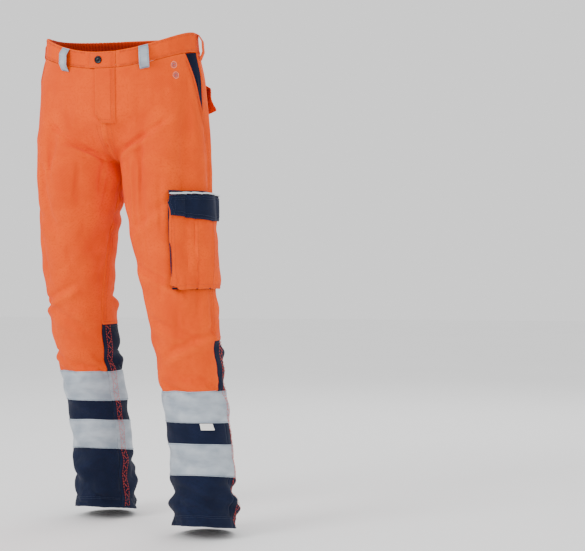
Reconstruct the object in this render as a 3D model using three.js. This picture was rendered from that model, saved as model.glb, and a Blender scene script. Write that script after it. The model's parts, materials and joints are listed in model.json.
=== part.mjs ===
import * as THREE from 'three';

// High-visibility work trousers as worn, in millimetres. +X is the wearer's left, -Y the front, +Z up.
// The origin is the centre of the waist opening. Heights are drops below the waistband's top edge.

// overall
const OUTSEAM = 1045;
const RISE = 270;
const WAIST_HALF = 165;
const HEEL_DROP = 14;

// cloth and clearances
const CLOTH = 1.2;
const GAP = 0.5;
const SEAM_HALF = 0.4;
const NORMAL_STEP = 0.004;

// waistband, fly and belt loops
const BAND = 42;
const BAND_CLOTH = 2.4;
const BAND_GAP = 1;
const BAND_END_GAP = 2;
const CENTRE_GAP = 0.9;
const FACING_INSET = 1;
const ELASTIC = 1.3;
const FACING_OUT = -BAND_CLOTH - ELASTIC - 2 * BAND_GAP;
const WAIST_DIP = 51;
const BACK_RISE = 12;
const FLY_LENGTH = 132;
const FLY_SLOT_HALF = 9;
const FLY_EASE = 12;
const DOOR_OUT = 3.4;
const TAB_TOP = 1;
const PLACKET_BELOW_ZIP = 6;
const PLACKET_CURVE = 22;
const SHIELD_LEFT = 26;
const SHIELD_RIGHT = 22;
const SHIELD_TOP = 4;
const SHIELD_BEHIND = 3;
const DOOR_LEFT = 28;
const PLACKET_RIGHT = 14;
const TAB_RIGHT = 27;
const SNAP_X = -6;
const SNAP_RADIUS = 8;
const SNAP_HEIGHT = 1.6;
const SNAP_CLEAR = 0.3;
const SOCKET_HOLE = 3.4;
const STUD_RADIUS = 2.7;
const STUD_HEIGHT = 2;
const CHAIN_HALF = 2.6;
const CHAIN_SLOT = 0.7;
const CHAIN_DEPTH = 2.2;
const ZIP_BEHIND = 1.9;
const ZIP_TOP = 4;
const ZIP_SHORTER = 14;
const ZIP_TAPE_WIDTH = 14;
const ZIP_TAPE_CLOTH = 0.6;
const ZIP_TAPE_GAP = 0.3;
const ZIP_TAPE_MORE = 6;
const STOP_HEIGHT = 4;
const SLIDER_HEIGHT = 11;
const SLIDER_HALF = 4.2;
const SLIDER_PLATE = 0.8;
const SLIDER_WEB_GAP = 0.35;
const PULL_WIDTH = 5;
const PULL_THICK = 0.9;
const PULL_LENGTH = 16;
const PULL_DROP = 16;
const PULL_GAP = 0.3;
const SLIDER_TOP = 2;
const LOOP_WIDTH = 21;
const LOOP_TOP = 1;
const LOOP_DROP = 56;
const LOOP_BOW = 10;
const LOOP_FRONT_T = 0.66;
const LOOP_SIDE_T = -0.05;
const ELASTIC_FROM = -0.3;
const ELASTIC_INSET = 3;

// front pockets
const SLANT_REACH = 55;
const SLANT_DROP = 222;
const SLANT_EASE = 30;
const SLANT_CURVE = 1.25;
const POCKET_ROOM = 12;
const BAG_DROP = 330;
const BAG_CLOTH = 0.8;
const BAG_TOP = 4;
const BAG_TO = 0.552;
const FACING_TO = 0.4;
const FACING_BELOW_SLANT = 18;

// back pockets
const BACK_FLAP_TOP = 108;
const BACK_FLAP_SIDE = 46;
const BACK_FLAP_POINT = 16;
const BACK_POCKET_DROP = 262;
const BACK_POCKET_POINT = 20;
const BACK_FLAP_OUT = 4.8;
const BACK_SEWN = 2.3;
const BACK_ROOM = 5.5;
const BACK_FROM = -0.8;
const BACK_TO = -0.3;
const BACK_MOUTH = 8;
const BACK_STAY_TOP = 8;
const HOOK_FROM = -0.6;
const HOOK_TO = -0.5;
const HOOK_HEIGHT = 20;
const BACK_HOOK_DROP = 24;
const HOOK_CLOTH = 0.8;
const BACK_HOOK_CLEAR = 0.7;
const STAY_GAP = 1;

// cargo pocket on the left thigh
const CARGO_TOP = 342;
const CARGO_DROP = 535;
const CARGO_ROOM = 9;
const CARGO_WALL = 2.4;
const CARGO_FLAP_SIDE = 41;
const CARGO_FLAP_POINT = 14;
const CARGO_FLAP_RISE = 2.4;
const PIPING = 3.2;
const PIPING_THICK = 2;
const PIPING_ABOVE = 5;
const CARGO_FROM = -0.3;
const CARGO_TO = 0.36;
const CARGO_MOUTH = 10;
const CARGO_STAY_TOP = 9;
const CARGO_HOOK_HALF = 0.1;
const CARGO_HOOK_DROP = 17;
const CARGO_HOOK_CLOTH = 0.7;
const HOOK_CLEAR = 0.3;

// reflective tapes and lower-leg panels
const TAPE_WIDTH = 70;
const TAPE_SPACE = 46;
const TAPE_THICK = 0.6;
const CUFF_LEFT = 109;
const CUFF_RIGHT = 138;
const CALF_ABOVE_TAPE = 110;

// labels
const LABEL_CLOTH = 0.4;
const TAG_FROM = 0.17;
const TAG_TO = 0.3;
const TAG_HEIGHT = 14;
const TAG_GAP = 1;
const CARE_HALF = 0.1;
const CARE_TOP = 14;
const CARE_BELOW_BAND = 22;

const orange = { color: 0xeb6d20, roughness: 0.85 };
const navy = { color: 0x222c48, roughness: 0.85 };
const silver = { color: 0xb8bfc6, roughness: 0.45, metalness: 0.3 };
const darkMetal = { color: 0x23262b, roughness: 0.35, metalness: 0.8 };
const white = { color: 0xefefea, roughness: 0.8 };
const black = { color: 0x15171c, roughness: 0.9 };

// Sections, as shares of WAIST_HALF. The torso's are set against RISE, the leg's against its own length.
const torsoRows = [
  { at: 0, side: 1.0, back: 0.764 },
  { at: 0.156, side: 1.018, back: 0.909 },
  { at: 0.37, side: 1.09, back: 0.985 },
  { at: 0.63, side: 1.133, back: 0.97 },
  { at: 1, side: 1.18, back: 0.94 },
];
const FRONT_TOP = 0.706;
const FRONT_LOW = 0.65;
// How far above the crotch each torso line starts to turn into its leg, as shares of RISE.
const BLEND_SIDE = 0.55;
const BLEND_FRONT = 0.34;
const BLEND_BACK = 0.5;
// How far round the centre back a t of 1 reaches, against the torso's half width.
const BACK_REACH = 1.57;
const legRows = [
  { at: 0, half: 0.588, deep: 0.788 },
  { at: 0.19, half: 0.515, deep: 0.618 },
  { at: 0.38, half: 0.45, deep: 0.515 },
  { at: 0.55, half: 0.424, deep: 0.437 },
  { at: 0.78, half: 0.406, deep: 0.418 },
  { at: 1, half: 0.412, deep: 0.448 },
];
// How each leg stands: how far its centre moves out and back, in mm, and its turn in half-turns.
const stance = {
  left: [
    { at: 0, out: 0, back: 20, turn: 0 },
    { at: 0.19, out: 14, back: 5, turn: 0.04 },
    { at: 0.46, out: 46, back: 4, turn: 0.11 },
    { at: 0.65, out: 59, back: 22, turn: 0.1 },
    { at: 0.8, out: 70, back: 32, turn: 0.06 },
    { at: 1, out: 76, back: 37, turn: 0.08 },
  ],
  right: [
    { at: 0, out: 0, back: 20, turn: 0 },
    { at: 0.19, out: 22, back: 50, turn: -0.06 },
    { at: 0.39, out: 31, back: 95, turn: -0.17 },
    { at: 0.56, out: 32, back: 143, turn: -0.21 },
    { at: 0.8, out: 27, back: 200, turn: -0.21 },
    { at: 1, out: 24, back: 218, turn: -0.21 },
  ],
};
const sides = ['left', 'right'];
const signOf = (side) => (side === 'left' ? 1 : -1);
const clamp = (x, low = 0, high = 1) => Math.min(high, Math.max(low, x));
const mix = (a, b, k) => a + (b - a) * k;
const smooth = (x) => clamp(x) ** 2 * (3 - 2 * clamp(x));

// A value between table rows. The slope carries through each row, and a leg's tables start level.
function track(rows, key, at) {
  const last = rows.length - 1;
  const i = clamp(rows.findIndex((row) => row.at > at) - 1, 0, last - 1);
  const j = at >= rows[last].at ? last - 1 : i;
  const slope = (k) => {
    if (k === 0 && rows !== torsoRows) return 0;
    const a = rows[Math.max(k - 1, 0)];
    const b = rows[Math.min(k + 1, last)];
    return (b[key] - a[key]) / (b.at - a.at);
  };
  const span = rows[j + 1].at - rows[j].at;
  const x = clamp((at - rows[j].at) / span);
  const eased = 3 * x ** 2 - 2 * x ** 3;
  const values = (1 - eased) * rows[j][key] + eased * rows[j + 1][key];
  const slopes = (x ** 3 - 2 * x ** 2 + x) * slope(j) + (x ** 3 - x ** 2) * slope(j + 1);
  return values + slopes * span;
}

const torsoHalf = (drop) => WAIST_HALF * track(torsoRows, 'side', drop / RISE);
const torsoFront = (drop) => WAIST_HALF * mix(FRONT_TOP, FRONT_LOW, clamp(drop / RISE));

// The cloth's outer surface. t is 0 at the side seam, 1 at the front centre and inseam, -1 at the back.
function surface(side, t, drop) {
  const below = clamp((drop - RISE) / (OUTSEAM - RISE));
  const legAngle = Math.PI * (t + track(stance[side], 'turn', below));
  const half = WAIST_HALF * track(legRows, 'half', below);
  const deep = WAIST_HALF * track(legRows, 'deep', below);
  const centre = WAIST_HALF * legRows[0].half + track(stance[side], 'out', below);
  const legX = centre + half * Math.cos(legAngle);
  const legY = track(stance[side], 'back', below) - deep * Math.sin(legAngle);

  const angle = (Math.PI * t) / 2;
  const fore = torsoFront(drop);
  const aft = WAIST_HALF * track(torsoRows, 'back', drop / RISE);
  const torsoX = torsoHalf(drop) * Math.cos(angle);
  const torsoY = -Math.sin(angle) * (t > 0 ? fore : aft);

  const edge = t ** 4;
  const height = mix(BLEND_SIDE, t > 0 ? BLEND_FRONT : BLEND_BACK, edge) * RISE;
  const u = clamp((drop - RISE + height) / height);
  const joined = mix(smooth(u), 1 - Math.sqrt(1 - u * u), edge);

  const lean = t > 0 ? -WAIST_DIP : BACK_RISE;
  const tilt = lean * (0.5 - 0.5 * Math.cos(Math.PI * t)) * clamp(1 - drop / RISE);
  const heel = HEEL_DROP * Math.sin(legAngle) * smooth(below * 2 - 1);
  const x = mix(torsoX, legX, joined) + SEAM_HALF;
  return new THREE.Vector3(signOf(side) * x, mix(torsoY, legY, joined), -drop + tilt + heel);
}

function normal(side, t, drop) {
  const next = surface(side, clamp(t + NORMAL_STEP, -1, 1), drop);
  const a = next.sub(surface(side, clamp(t - NORMAL_STEP, -1, 1), drop));
  const b = surface(side, t, drop + 1).sub(surface(side, t, drop - 1));
  return a.cross(b).multiplyScalar(signOf(side)).normalize();
}

// A point off the cloth, kept on its own side of the centre seam.
function onCloth(side, t, drop, out) {
  const point = surface(side, t, drop).addScaledVector(normal(side, t, drop), out);
  point.x = signOf(side) * Math.max(signOf(side) * point.x, SEAM_HALF);
  return point;
}

const sewnTo = (side) => (t, drop, out) => onCloth(side, t, drop, out);

// The front is also addressed by x across the centre, which both sides share.
function onFront(x, drop, out) {
  const side = x >= 0 ? 'left' : 'right';
  const t = (2 / Math.PI) * Math.acos(clamp(Math.abs(x) / torsoHalf(drop)));
  return onCloth(side, t, drop, out);
}

// The centre back is also addressed by t either side of its seam.
function onBack(u, drop, out) {
  const side = u > 0 ? 'left' : 'right';
  return onCloth(side, Math.abs(u) - 1, drop, out).setX(u * torsoHalf(BAND) * BACK_REACH);
}

const parts = new THREE.Group();

function add(name, geometry, look) {
  const mesh = new THREE.Mesh(geometry, new THREE.MeshStandardMaterial(look));
  mesh.name = name;
  parts.add(mesh);
  return mesh;
}

function solid(points, faces) {
  let volume = 0;
  const cross = new THREE.Vector3();
  for (const [a, b, c] of faces) volume += cross.crossVectors(points[a], points[b]).dot(points[c]);
  const wound = volume < 0 ? faces.map(([a, b, c]) => [a, c, b]) : faces;
  const geometry = new THREE.BufferGeometry();
  geometry.setAttribute('position', new THREE.Float32BufferAttribute(points.flatMap((p) => p.toArray()), 3));
  geometry.setIndex(wound.flat());
  geometry.computeVertexNormals();
  return geometry;
}

// A sheet with thickness, from two grids of points of one size. A ring's last column meets its first.
function sheet(outer, inner, ring = false) {
  const columns = outer.length;
  const rows = outer[0].length;
  const points = [...outer.flat(), ...inner.flat()];
  const at = (layer, i, j) => layer * columns * rows + (i % columns) * rows + j;
  const faces = [];
  const quad = (a, b, c, d) => faces.push([a, b, c], [a, c, d]);
  for (let i = 0; i < (ring ? columns : columns - 1); i += 1) {
    for (let j = 0; j < rows - 1; j += 1) {
      quad(at(0, i, j), at(0, i + 1, j), at(0, i + 1, j + 1), at(0, i, j + 1));
      quad(at(1, i, j), at(1, i, j + 1), at(1, i + 1, j + 1), at(1, i + 1, j));
    }
    quad(at(0, i, 0), at(1, i, 0), at(1, i + 1, 0), at(0, i + 1, 0));
    quad(at(0, i, rows - 1), at(0, i + 1, rows - 1), at(1, i + 1, rows - 1), at(1, i, rows - 1));
  }
  for (let j = 0; j < rows - 1 && !ring; j += 1) {
    quad(at(0, 0, j), at(0, 0, j + 1), at(1, 0, j + 1), at(1, 0, j));
    quad(at(0, columns - 1, j), at(1, columns - 1, j), at(1, columns - 1, j + 1), at(0, columns - 1, j + 1));
  }
  return solid(points, faces);
}

// A sheet over columns and, down each column, rows. place gives a point at an offset from the cloth.
function layer(columns, rowsAt, place, out, thickness, ring = false) {
  const offset = typeof out === 'function' ? out : () => out;
  const grid = (less) => columns.map((u) => rowsAt(u).map((v) => place(u, v, offset(u, v) - less)));
  return sheet(grid(0), grid(thickness), ring);
}

const EDGE = SEAM_HALF / (Math.PI * WAIST_HALF * legRows[4].half);
const span = (from, to, count) => Array.from({ length: count + 1 }, (_, i) => mix(from, to, i / count));

const tapeDrops = (side) => {
  const lowEnd = OUTSEAM - (side === 'left' ? CUFF_LEFT : CUFF_RIGHT);
  const lower = lowEnd - TAPE_WIDTH;
  return { upper: lower - TAPE_SPACE - TAPE_WIDTH, lower };
};
const slantT = (2 / Math.PI) * Math.asin(SLANT_REACH / torsoHalf(BAND) + 0.05);

// Everything on the cloth is cut on one lattice, so layers never cross.
const GIRTH_STEP = 0.1;
const girthLines = [
  ...span(-1, 0.1, Math.round(1.1 / GIRTH_STEP)),
  slantT,
  0.3,
  CARGO_TO,
  0.44,
  ...span(BAG_TO, 1, 4),
];
const dropLines = (side) => {
  const { upper, lower } = tapeDrops(side);
  return [
    ...span(0, BAND, 1),
    ...span(BAND, RISE * 0.84, 6).slice(1),
    RISE * 0.9,
    RISE * 0.945,
    RISE * 0.975,
    RISE * 0.993,
    ...span(RISE, CARGO_TOP, 2),
    ...span(CARGO_TOP, CARGO_DROP, 6).slice(1),
    ...span(CARGO_DROP, upper - CALF_ABOVE_TAPE, 3).slice(1),
    ...span(upper - CALF_ABOVE_TAPE, upper, 4).slice(1),
    ...span(upper, upper + TAPE_WIDTH, 2).slice(1),
    ...span(upper + TAPE_WIDTH, lower, 2).slice(1),
    ...span(lower, lower + TAPE_WIDTH, 2).slice(1),
    ...span(lower + TAPE_WIDTH, OUTSEAM, 4).slice(1),
  ];
};
const between = (lines, from, to) => {
  const least = Math.abs(to - from) * 0.002;
  const inside = lines.filter((x) => x > Math.min(from, to) + least && x < Math.max(from, to) - least);
  return [Math.min(from, to), ...inside, Math.max(from, to)];
};
const across = (from, to) => between(girthLines, from, to);
const down = (from, to, side = 'left') => between(dropLines(side), from, to);

const slantDrop = (t) => mix(SLANT_DROP, BAND, clamp(t / slantT) ** SLANT_CURVE) + SEAM_HALF;
const flyEnd = BAND + FLY_LENGTH;

// The front panel gives way to the slant pocket at the side and to the zip at the centre.
function frontPanels(side) {
  const tape = tapeDrops(side).upper + TAPE_WIDTH / 2;
  const lines = across(EDGE, 1);
  const rows = down(BAND + SEAM_HALF, tape - SEAM_HALF, side);
  const deepest = SLANT_DROP + SLANT_EASE;
  const shift = (t, drop) => {
    const k = clamp((drop - BAND - SEAM_HALF) / (deepest - BAND - SEAM_HALF));
    return drop < deepest ? mix(slantDrop(t), deepest, k) : drop;
  };
  const place = (t, drop, out) => {
    const slot = FLY_SLOT_HALF * (1 - smooth((drop - flyEnd + FLY_EASE / 2) / FLY_EASE));
    const widest = (2 / Math.PI) * Math.acos(slot / torsoHalf(drop));
    const inseam = drop > RISE ? 1 - EDGE : 1;
    return onCloth(side, t === 1 ? Math.min(widest, inseam) : t, drop, out);
  };
  const panel = layer(lines, (t) => rows.map((drop) => shift(t, drop)), place, 0, CLOTH);
  add(`front_panel_${side}`, panel, orange);
  const shinRows = down(tape + SEAM_HALF, OUTSEAM, side);
  add(`shin_panel_${side}`, layer(across(EDGE, 1 - EDGE), () => shinRows, sewnTo(side), 0, CLOTH), navy);
}

function backPanels(side) {
  const calf = tapeDrops(side).upper - CALF_ABOVE_TAPE;
  const place = (t, drop, out) => onCloth(side, t === -1 && drop > RISE ? t + EDGE : t, drop, out);
  const columns = across(-1, -EDGE);
  const seatRows = down(BAND + SEAM_HALF, calf - SEAM_HALF, side);
  add(`back_panel_${side}`, layer(columns, () => seatRows, place, 0, CLOTH), orange);
  const calfRows = down(calf + SEAM_HALF, OUTSEAM, side);
  add(`calf_panel_${side}`, layer(columns, () => calfRows, place, 0, CLOTH), navy);
}

function tapes(side) {
  const ring = girthLines.slice(0, -1);
  const drops = tapeDrops(side);
  for (const name of ['upper', 'lower']) {
    const rows = down(drops[name], drops[name] + TAPE_WIDTH, side);
    const tape = layer(ring, () => rows, sewnTo(side), GAP + TAPE_THICK, TAPE_THICK, true);
    add(`${name}_tape_${side}`, tape, silver);
  }
}

// The waistband is two fronts, one back piece round both sides, its facing and an elastic between them.
function backBand(name, lowest, top, out, thickness, look) {
  const half = across(-1, lowest);
  const both = [...half.map((t) => ['right', t]).reverse(), ...half.slice(1).map((t) => ['left', t])];
  const place = ([side, t], drop, offset) => onCloth(side, t, drop, offset);
  add(name, layer(both, () => [top, BAND - top - SEAM_HALF], place, out, thickness), look);
}

function waistband() {
  const rows = [0, BAND - SEAM_HALF];
  const front = (side, endX) => {
    const endT = (2 / Math.PI) * Math.acos(endX / torsoHalf(0));
    const band = layer(across(EDGE, endT), () => rows, sewnTo(side), 0, BAND_CLOTH);
    add(`waistband_front_${side}`, band, orange);
  };
  front('left', DOOR_LEFT + BAND_END_GAP);
  front('right', CENTRE_GAP);
  backBand('waistband_back', -EDGE, 0, 0, BAND_CLOTH, orange);
  backBand('waist_elastic', ELASTIC_FROM, ELASTIC_INSET, -BAND_CLOTH - BAND_GAP, ELASTIC, white);
  backBand('waistband_facing_back', -EDGE, FACING_INSET, FACING_OUT, CLOTH, orange);
}

// The fly: a placket and tab that open together, and a straight zip behind them.
const flyTop = onFront(0, BAND, 0);
const flyFoot = onFront(0, flyEnd, 0);
const flyLean = Math.atan2(flyFoot.y - flyTop.y, flyTop.z - flyFoot.z);

function fly() {
  const doorX = (right) => span(-right, DOOR_LEFT, 4);
  const outer = DOOR_OUT + CLOTH;
  const tab = layer(doorX(TAB_RIGHT), () => [TAB_TOP, BAND - SEAM_HALF], onFront, outer, CLOTH);
  add('waistband_tab', tab, orange);
  const foot = (x) => flyEnd + PLACKET_BELOW_ZIP - PLACKET_CURVE * smooth(-x / PLACKET_RIGHT);
  const rows = (x) => span(BAND + SEAM_HALF, foot(x), 6);
  add('fly_placket', layer(doorX(PLACKET_RIGHT), rows, onFront, outer, CLOTH), orange);
  const inside = -CLOTH - ZIP_BEHIND - CHAIN_DEPTH - SHIELD_BEHIND;
  const shieldRows = span(SHIELD_TOP, flyEnd, 6);
  const shield = layer(span(-SHIELD_RIGHT, SHIELD_LEFT, 4), () => shieldRows, onFront, inside, CLOTH);
  add('fly_shield', shield, navy);
}

const box = (w, d, h) => new THREE.BoxGeometry(w, d, h);

function placed(mesh, x, y, z) {
  mesh.rotation.x = flyLean;
  const at = new THREE.Vector3(x, y, z).applyAxisAngle(new THREE.Vector3(1, 0, 0), flyLean);
  mesh.position.copy(flyTop).add(at).setX(x);
}

function zip() {
  const length = flyTop.distanceTo(flyFoot) - ZIP_SHORTER;
  const middle = -length / 2 - ZIP_TOP;
  const chainY = CLOTH + ZIP_BEHIND + CHAIN_DEPTH / 2;
  for (const side of sides) {
    const s = signOf(side);
    const tape = add(`zip_tape_${side}`, box(ZIP_TAPE_WIDTH, ZIP_TAPE_CLOTH, length + ZIP_TAPE_MORE), navy);
    placed(tape, s * (CHAIN_HALF + ZIP_TAPE_GAP + ZIP_TAPE_WIDTH / 2), chainY, middle);
    const width = CHAIN_HALF - CHAIN_SLOT;
    const teeth = add(`zip_teeth_${side}`, box(width, CHAIN_DEPTH, length), black);
    placed(teeth, s * (CHAIN_SLOT + width / 2), chainY, middle);
  }
  const stop = add('zip_bottom_stop', box(2 * CHAIN_HALF, CHAIN_DEPTH, STOP_HEIGHT), darkMetal);
  placed(stop, 0, chainY, middle - length / 2 - STOP_HEIGHT / 2 - SEAM_HALF);
  slider(chainY);
}

// Two plates joined by a thin web that runs in the slot between the rows of teeth.
function slider(chainY) {
  const reach = CHAIN_DEPTH / 2 + GAP;
  const back = reach + SLIDER_PLATE;
  const web = CHAIN_SLOT - SLIDER_WEB_GAP;
  const wide = SLIDER_HALF;
  const edges = [
    [-wide, back], [-wide, reach], [-web, reach], [-web, -reach], [-wide, -reach], [-wide, -back],
    [wide, -back], [wide, -reach], [web, -reach], [web, reach], [wide, reach], [wide, back],
  ];
  const profile = new THREE.Shape(edges.map(([x, y]) => new THREE.Vector2(x, y)));
  const body = new THREE.ExtrudeGeometry(profile, { depth: SLIDER_HEIGHT, bevelEnabled: false });
  body.translate(0, 0, -SLIDER_HEIGHT / 2);
  placed(add('zip_slider', body, darkMetal), 0, chainY, -SLIDER_HEIGHT / 2 - SLIDER_TOP);
  const pullY = chainY - back - PULL_GAP - PULL_THICK / 2;
  placed(add('zip_pull', box(PULL_WIDTH, PULL_THICK, PULL_LENGTH), darkMetal), 0, pullY, -PULL_DROP);
}

function snap() {
  const outer = DOOR_OUT + CLOTH;
  const drop = BAND / 2;
  const disc = (name, radius, out, height, hole) => {
    const shoulder = height * 0.7;
    const crown = radius * 0.85;
    const rim = [[hole, 0], [radius, 0], [radius, shoulder], [crown, height], [hole, height], [hole, 0]];
    const profile = rim.map(([x, y]) => new THREE.Vector2(x, y));
    const mesh = add(name, new THREE.LatheGeometry(profile, 20), darkMetal);
    const facing = onFront(SNAP_X, drop, 1).sub(onFront(SNAP_X, drop, 0));
    mesh.position.copy(onFront(SNAP_X, drop, out));
    mesh.quaternion.setFromUnitVectors(new THREE.Vector3(0, 1, 0), facing);
  };
  disc('snap_cap', SNAP_RADIUS, outer + SNAP_CLEAR, SNAP_HEIGHT, 0);
  disc('snap_socket', SNAP_RADIUS * 0.75, DOOR_OUT - SNAP_CLEAR - SNAP_HEIGHT, SNAP_HEIGHT, SOCKET_HOLE);
  disc('snap_stud', STUD_RADIUS, SNAP_CLEAR, STUD_HEIGHT, 0);
}

// A loop is a strap that bows away from the waistband between its two sewn ends.
function beltLoop(name, side, t, look) {
  const wide = LOOP_WIDTH / (torsoHalf(BAND) * Math.PI);
  const rows = span(LOOP_TOP, LOOP_DROP, 8);
  const bulge = (v) => clamp(1.25 * Math.sin((Math.PI * (v - LOOP_TOP)) / (LOOP_DROP - LOOP_TOP)));
  const bow = (u, v) => GAP + CLOTH + LOOP_BOW * bulge(v);
  if (t === -1) add(name, layer([-wide, wide], () => rows, onBack, bow, CLOTH), look);
  else add(name, layer([t - wide, t + wide], () => rows, sewnTo(side), bow, CLOTH), look);
}

function frontPocket(side) {
  const dish = (t, v) => {
    const sideways = smooth(t / 0.22) * smooth((BAG_TO - t) / 0.1);
    return -CLOTH - GAP - POCKET_ROOM * sideways * smooth((BAG_DROP - v) / 60);
  };
  const facingRows = down(BAND + SEAM_HALF, SLANT_DROP + FACING_BELOW_SLANT);
  const facing = layer(across(EDGE, FACING_TO), () => facingRows, sewnTo(side), dish, CLOTH);
  add(`front_pocket_facing_${side}`, facing, navy);
  const bagRows = down(BAND + BAG_TOP, BAG_DROP);
  const behind = (t, v) => dish(t, v) - CLOTH - GAP;
  const bag = layer(across(EDGE, BAG_TO), () => bagRows, sewnTo(side), behind, BAG_CLOTH);
  add(`front_pocket_bag_${side}`, bag, navy);
}

// A flap hangs from its top edge, with its lower edge drawn to a point in the middle.
function pointed(from, to, side, point) {
  const middle = (from + to) / 2;
  return (t) => side + point * (1 - Math.abs(t - middle) / Math.abs(to - middle));
}

function backPocket(side) {
  const place = sewnTo(side);
  const columns = across(BACK_FROM, BACK_TO);
  const low = pointed(BACK_FROM, BACK_TO, BACK_POCKET_DROP, BACK_POCKET_POINT);
  const top = BACK_FLAP_TOP + BACK_MOUTH;
  const straight = RISE * 0.84;
  const share = (v) => clamp((v - straight) / (BACK_POCKET_DROP - straight));
  const stretch = (t, v) => v + share(v) * (low(t) - BACK_POCKET_DROP);
  const rows = (t) => down(top, BACK_POCKET_DROP).map((v) => stretch(t, v));
  const room = (t, v) => {
    const middle = 1 - Math.abs(t - (BACK_FROM + BACK_TO) / 2) / ((BACK_TO - BACK_FROM) / 2);
    return BACK_SEWN + CLOTH + BACK_ROOM * smooth(middle * 2.5) * smooth((BACK_POCKET_DROP - v) / 45);
  };
  add(`back_pocket_${side}`, layer(columns, rows, place, room, CLOTH), orange);
  const face = BACK_SEWN + CLOTH + BACK_ROOM;
  const flapLow = pointed(BACK_FROM, BACK_TO, BACK_FLAP_TOP + BACK_FLAP_SIDE, BACK_FLAP_POINT);
  const flapOut = face + BACK_FLAP_OUT + CLOTH;
  const flap = layer(columns, (t) => span(BACK_FLAP_TOP, flapLow(t), 3), place, flapOut, CLOTH);
  add(`back_flap_${side}`, flap, orange);
  const strip = (name, out, drop) => {
    const tape = layer(across(HOOK_FROM, HOOK_TO), () => [drop, drop + HOOK_HEIGHT], place, out, HOOK_CLOTH);
    add(`${name}_${side}`, tape, black);
  };
  strip('back_hook_tape', face + BACK_FLAP_OUT - BACK_HOOK_CLEAR, BACK_FLAP_TOP + BACK_HOOK_DROP);
  strip('back_loop_tape', face + 3 * GAP + HOOK_CLOTH, BACK_FLAP_TOP + BACK_HOOK_DROP);
  const stayOut = face + BACK_FLAP_OUT;
  const stayRows = [BACK_FLAP_TOP - BACK_STAY_TOP, BACK_FLAP_TOP - STAY_GAP];
  add(`back_flap_stay_${side}`, layer(columns, () => stayRows, place, stayOut, stayOut - GAP), orange);
}

function cargo() {
  const side = 'left';
  const place = sewnTo(side);
  const top = CARGO_TOP + CARGO_MOUTH;
  const girth = Math.PI * WAIST_HALF * legRows[1].half;
  const wall = CARGO_WALL / girth;
  const columns = across(CARGO_FROM, CARGO_TO);
  const rows = down(top, CARGO_DROP);
  const faceOut = CARGO_ROOM + GAP + CLOTH;
  add('cargo_pocket', layer(columns, () => rows, place, faceOut, CLOTH), orange);

  const within = (t) => clamp(t, CARGO_FROM + wall, CARGO_TO - wall);
  const up = rows.slice(0, -1);
  const downUp = [...up.map((v) => [CARGO_FROM, v]), ...columns.map((t) => [t, CARGO_DROP])];
  const outline = [...downUp, ...up.map((v) => [CARGO_TO, v]).reverse()];
  const inner = outline.map(([t, v]) => [within(t), v === CARGO_DROP ? v - CARGO_WALL : v]);
  const walls = (out) => outline.map(([t, v], k) => [place(t, v, out), place(...inner[k], out)]);
  add('cargo_gusset', sheet(walls(CARGO_ROOM), walls(GAP)), navy);

  const under = faceOut + CARGO_FLAP_RISE;
  const low = pointed(CARGO_FROM, CARGO_TO, CARGO_TOP + CARGO_FLAP_SIDE, CARGO_FLAP_POINT);
  add('cargo_flap', layer(columns, (t) => span(CARGO_TOP, low(t), 3), place, under + CLOTH, CLOTH), navy);
  const stayRows = [CARGO_TOP - CARGO_STAY_TOP, CARGO_TOP - STAY_GAP];
  add('cargo_flap_stay', layer(columns, () => stayRows, place, under, under - GAP), navy);
  const pipingRows = [CARGO_TOP - PIPING_ABOVE, CARGO_TOP - PIPING_ABOVE + PIPING];
  const pipingOut = under + GAP + PIPING_THICK;
  add('cargo_piping', layer(columns, () => pipingRows, place, pipingOut, PIPING_THICK), silver);
  const stripColumns = across(-CARGO_HOOK_HALF, CARGO_HOOK_HALF);
  const stripRows = [CARGO_TOP + CARGO_HOOK_DROP, CARGO_TOP + CARGO_HOOK_DROP + HOOK_HEIGHT];
  const strip = (name, out) => {
    add(name, layer(stripColumns, () => stripRows, place, out, CARGO_HOOK_CLOTH), black);
  };
  strip('cargo_hook_tape', under - HOOK_CLEAR);
  strip('cargo_loop_tape', faceOut + HOOK_CLEAR + CARGO_HOOK_CLOTH);
}

function labels() {
  const top = tapeDrops('left').upper + TAPE_WIDTH + TAG_GAP;
  const tagRows = [top, top + TAG_HEIGHT];
  const tag = layer(across(TAG_FROM, TAG_TO), () => tagRows, sewnTo('left'), GAP + LABEL_CLOTH, LABEL_CLOTH);
  add('tape_tag', tag, white);
  const careRows = [CARE_TOP, BAND + CARE_BELOW_BAND];
  const inside = FACING_OUT - CLOTH - 2 * BAND_GAP;
  add('care_label', layer([-CARE_HALF, CARE_HALF], () => careRows, onBack, inside, LABEL_CLOTH), white);
}

for (const side of sides) {
  frontPanels(side);
  backPanels(side);
  tapes(side);
  frontPocket(side);
  backPocket(side);
}
waistband();
fly();
zip();
snap();
for (const side of sides) {
  beltLoop(`belt_loop_front_${side}`, side, LOOP_FRONT_T, silver);
  beltLoop(`belt_loop_side_${side}`, side, LOOP_SIDE_T, orange);
}
beltLoop('belt_loop_back', 'left', -1, silver);
cargo();
labels();

export default parts;
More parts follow.
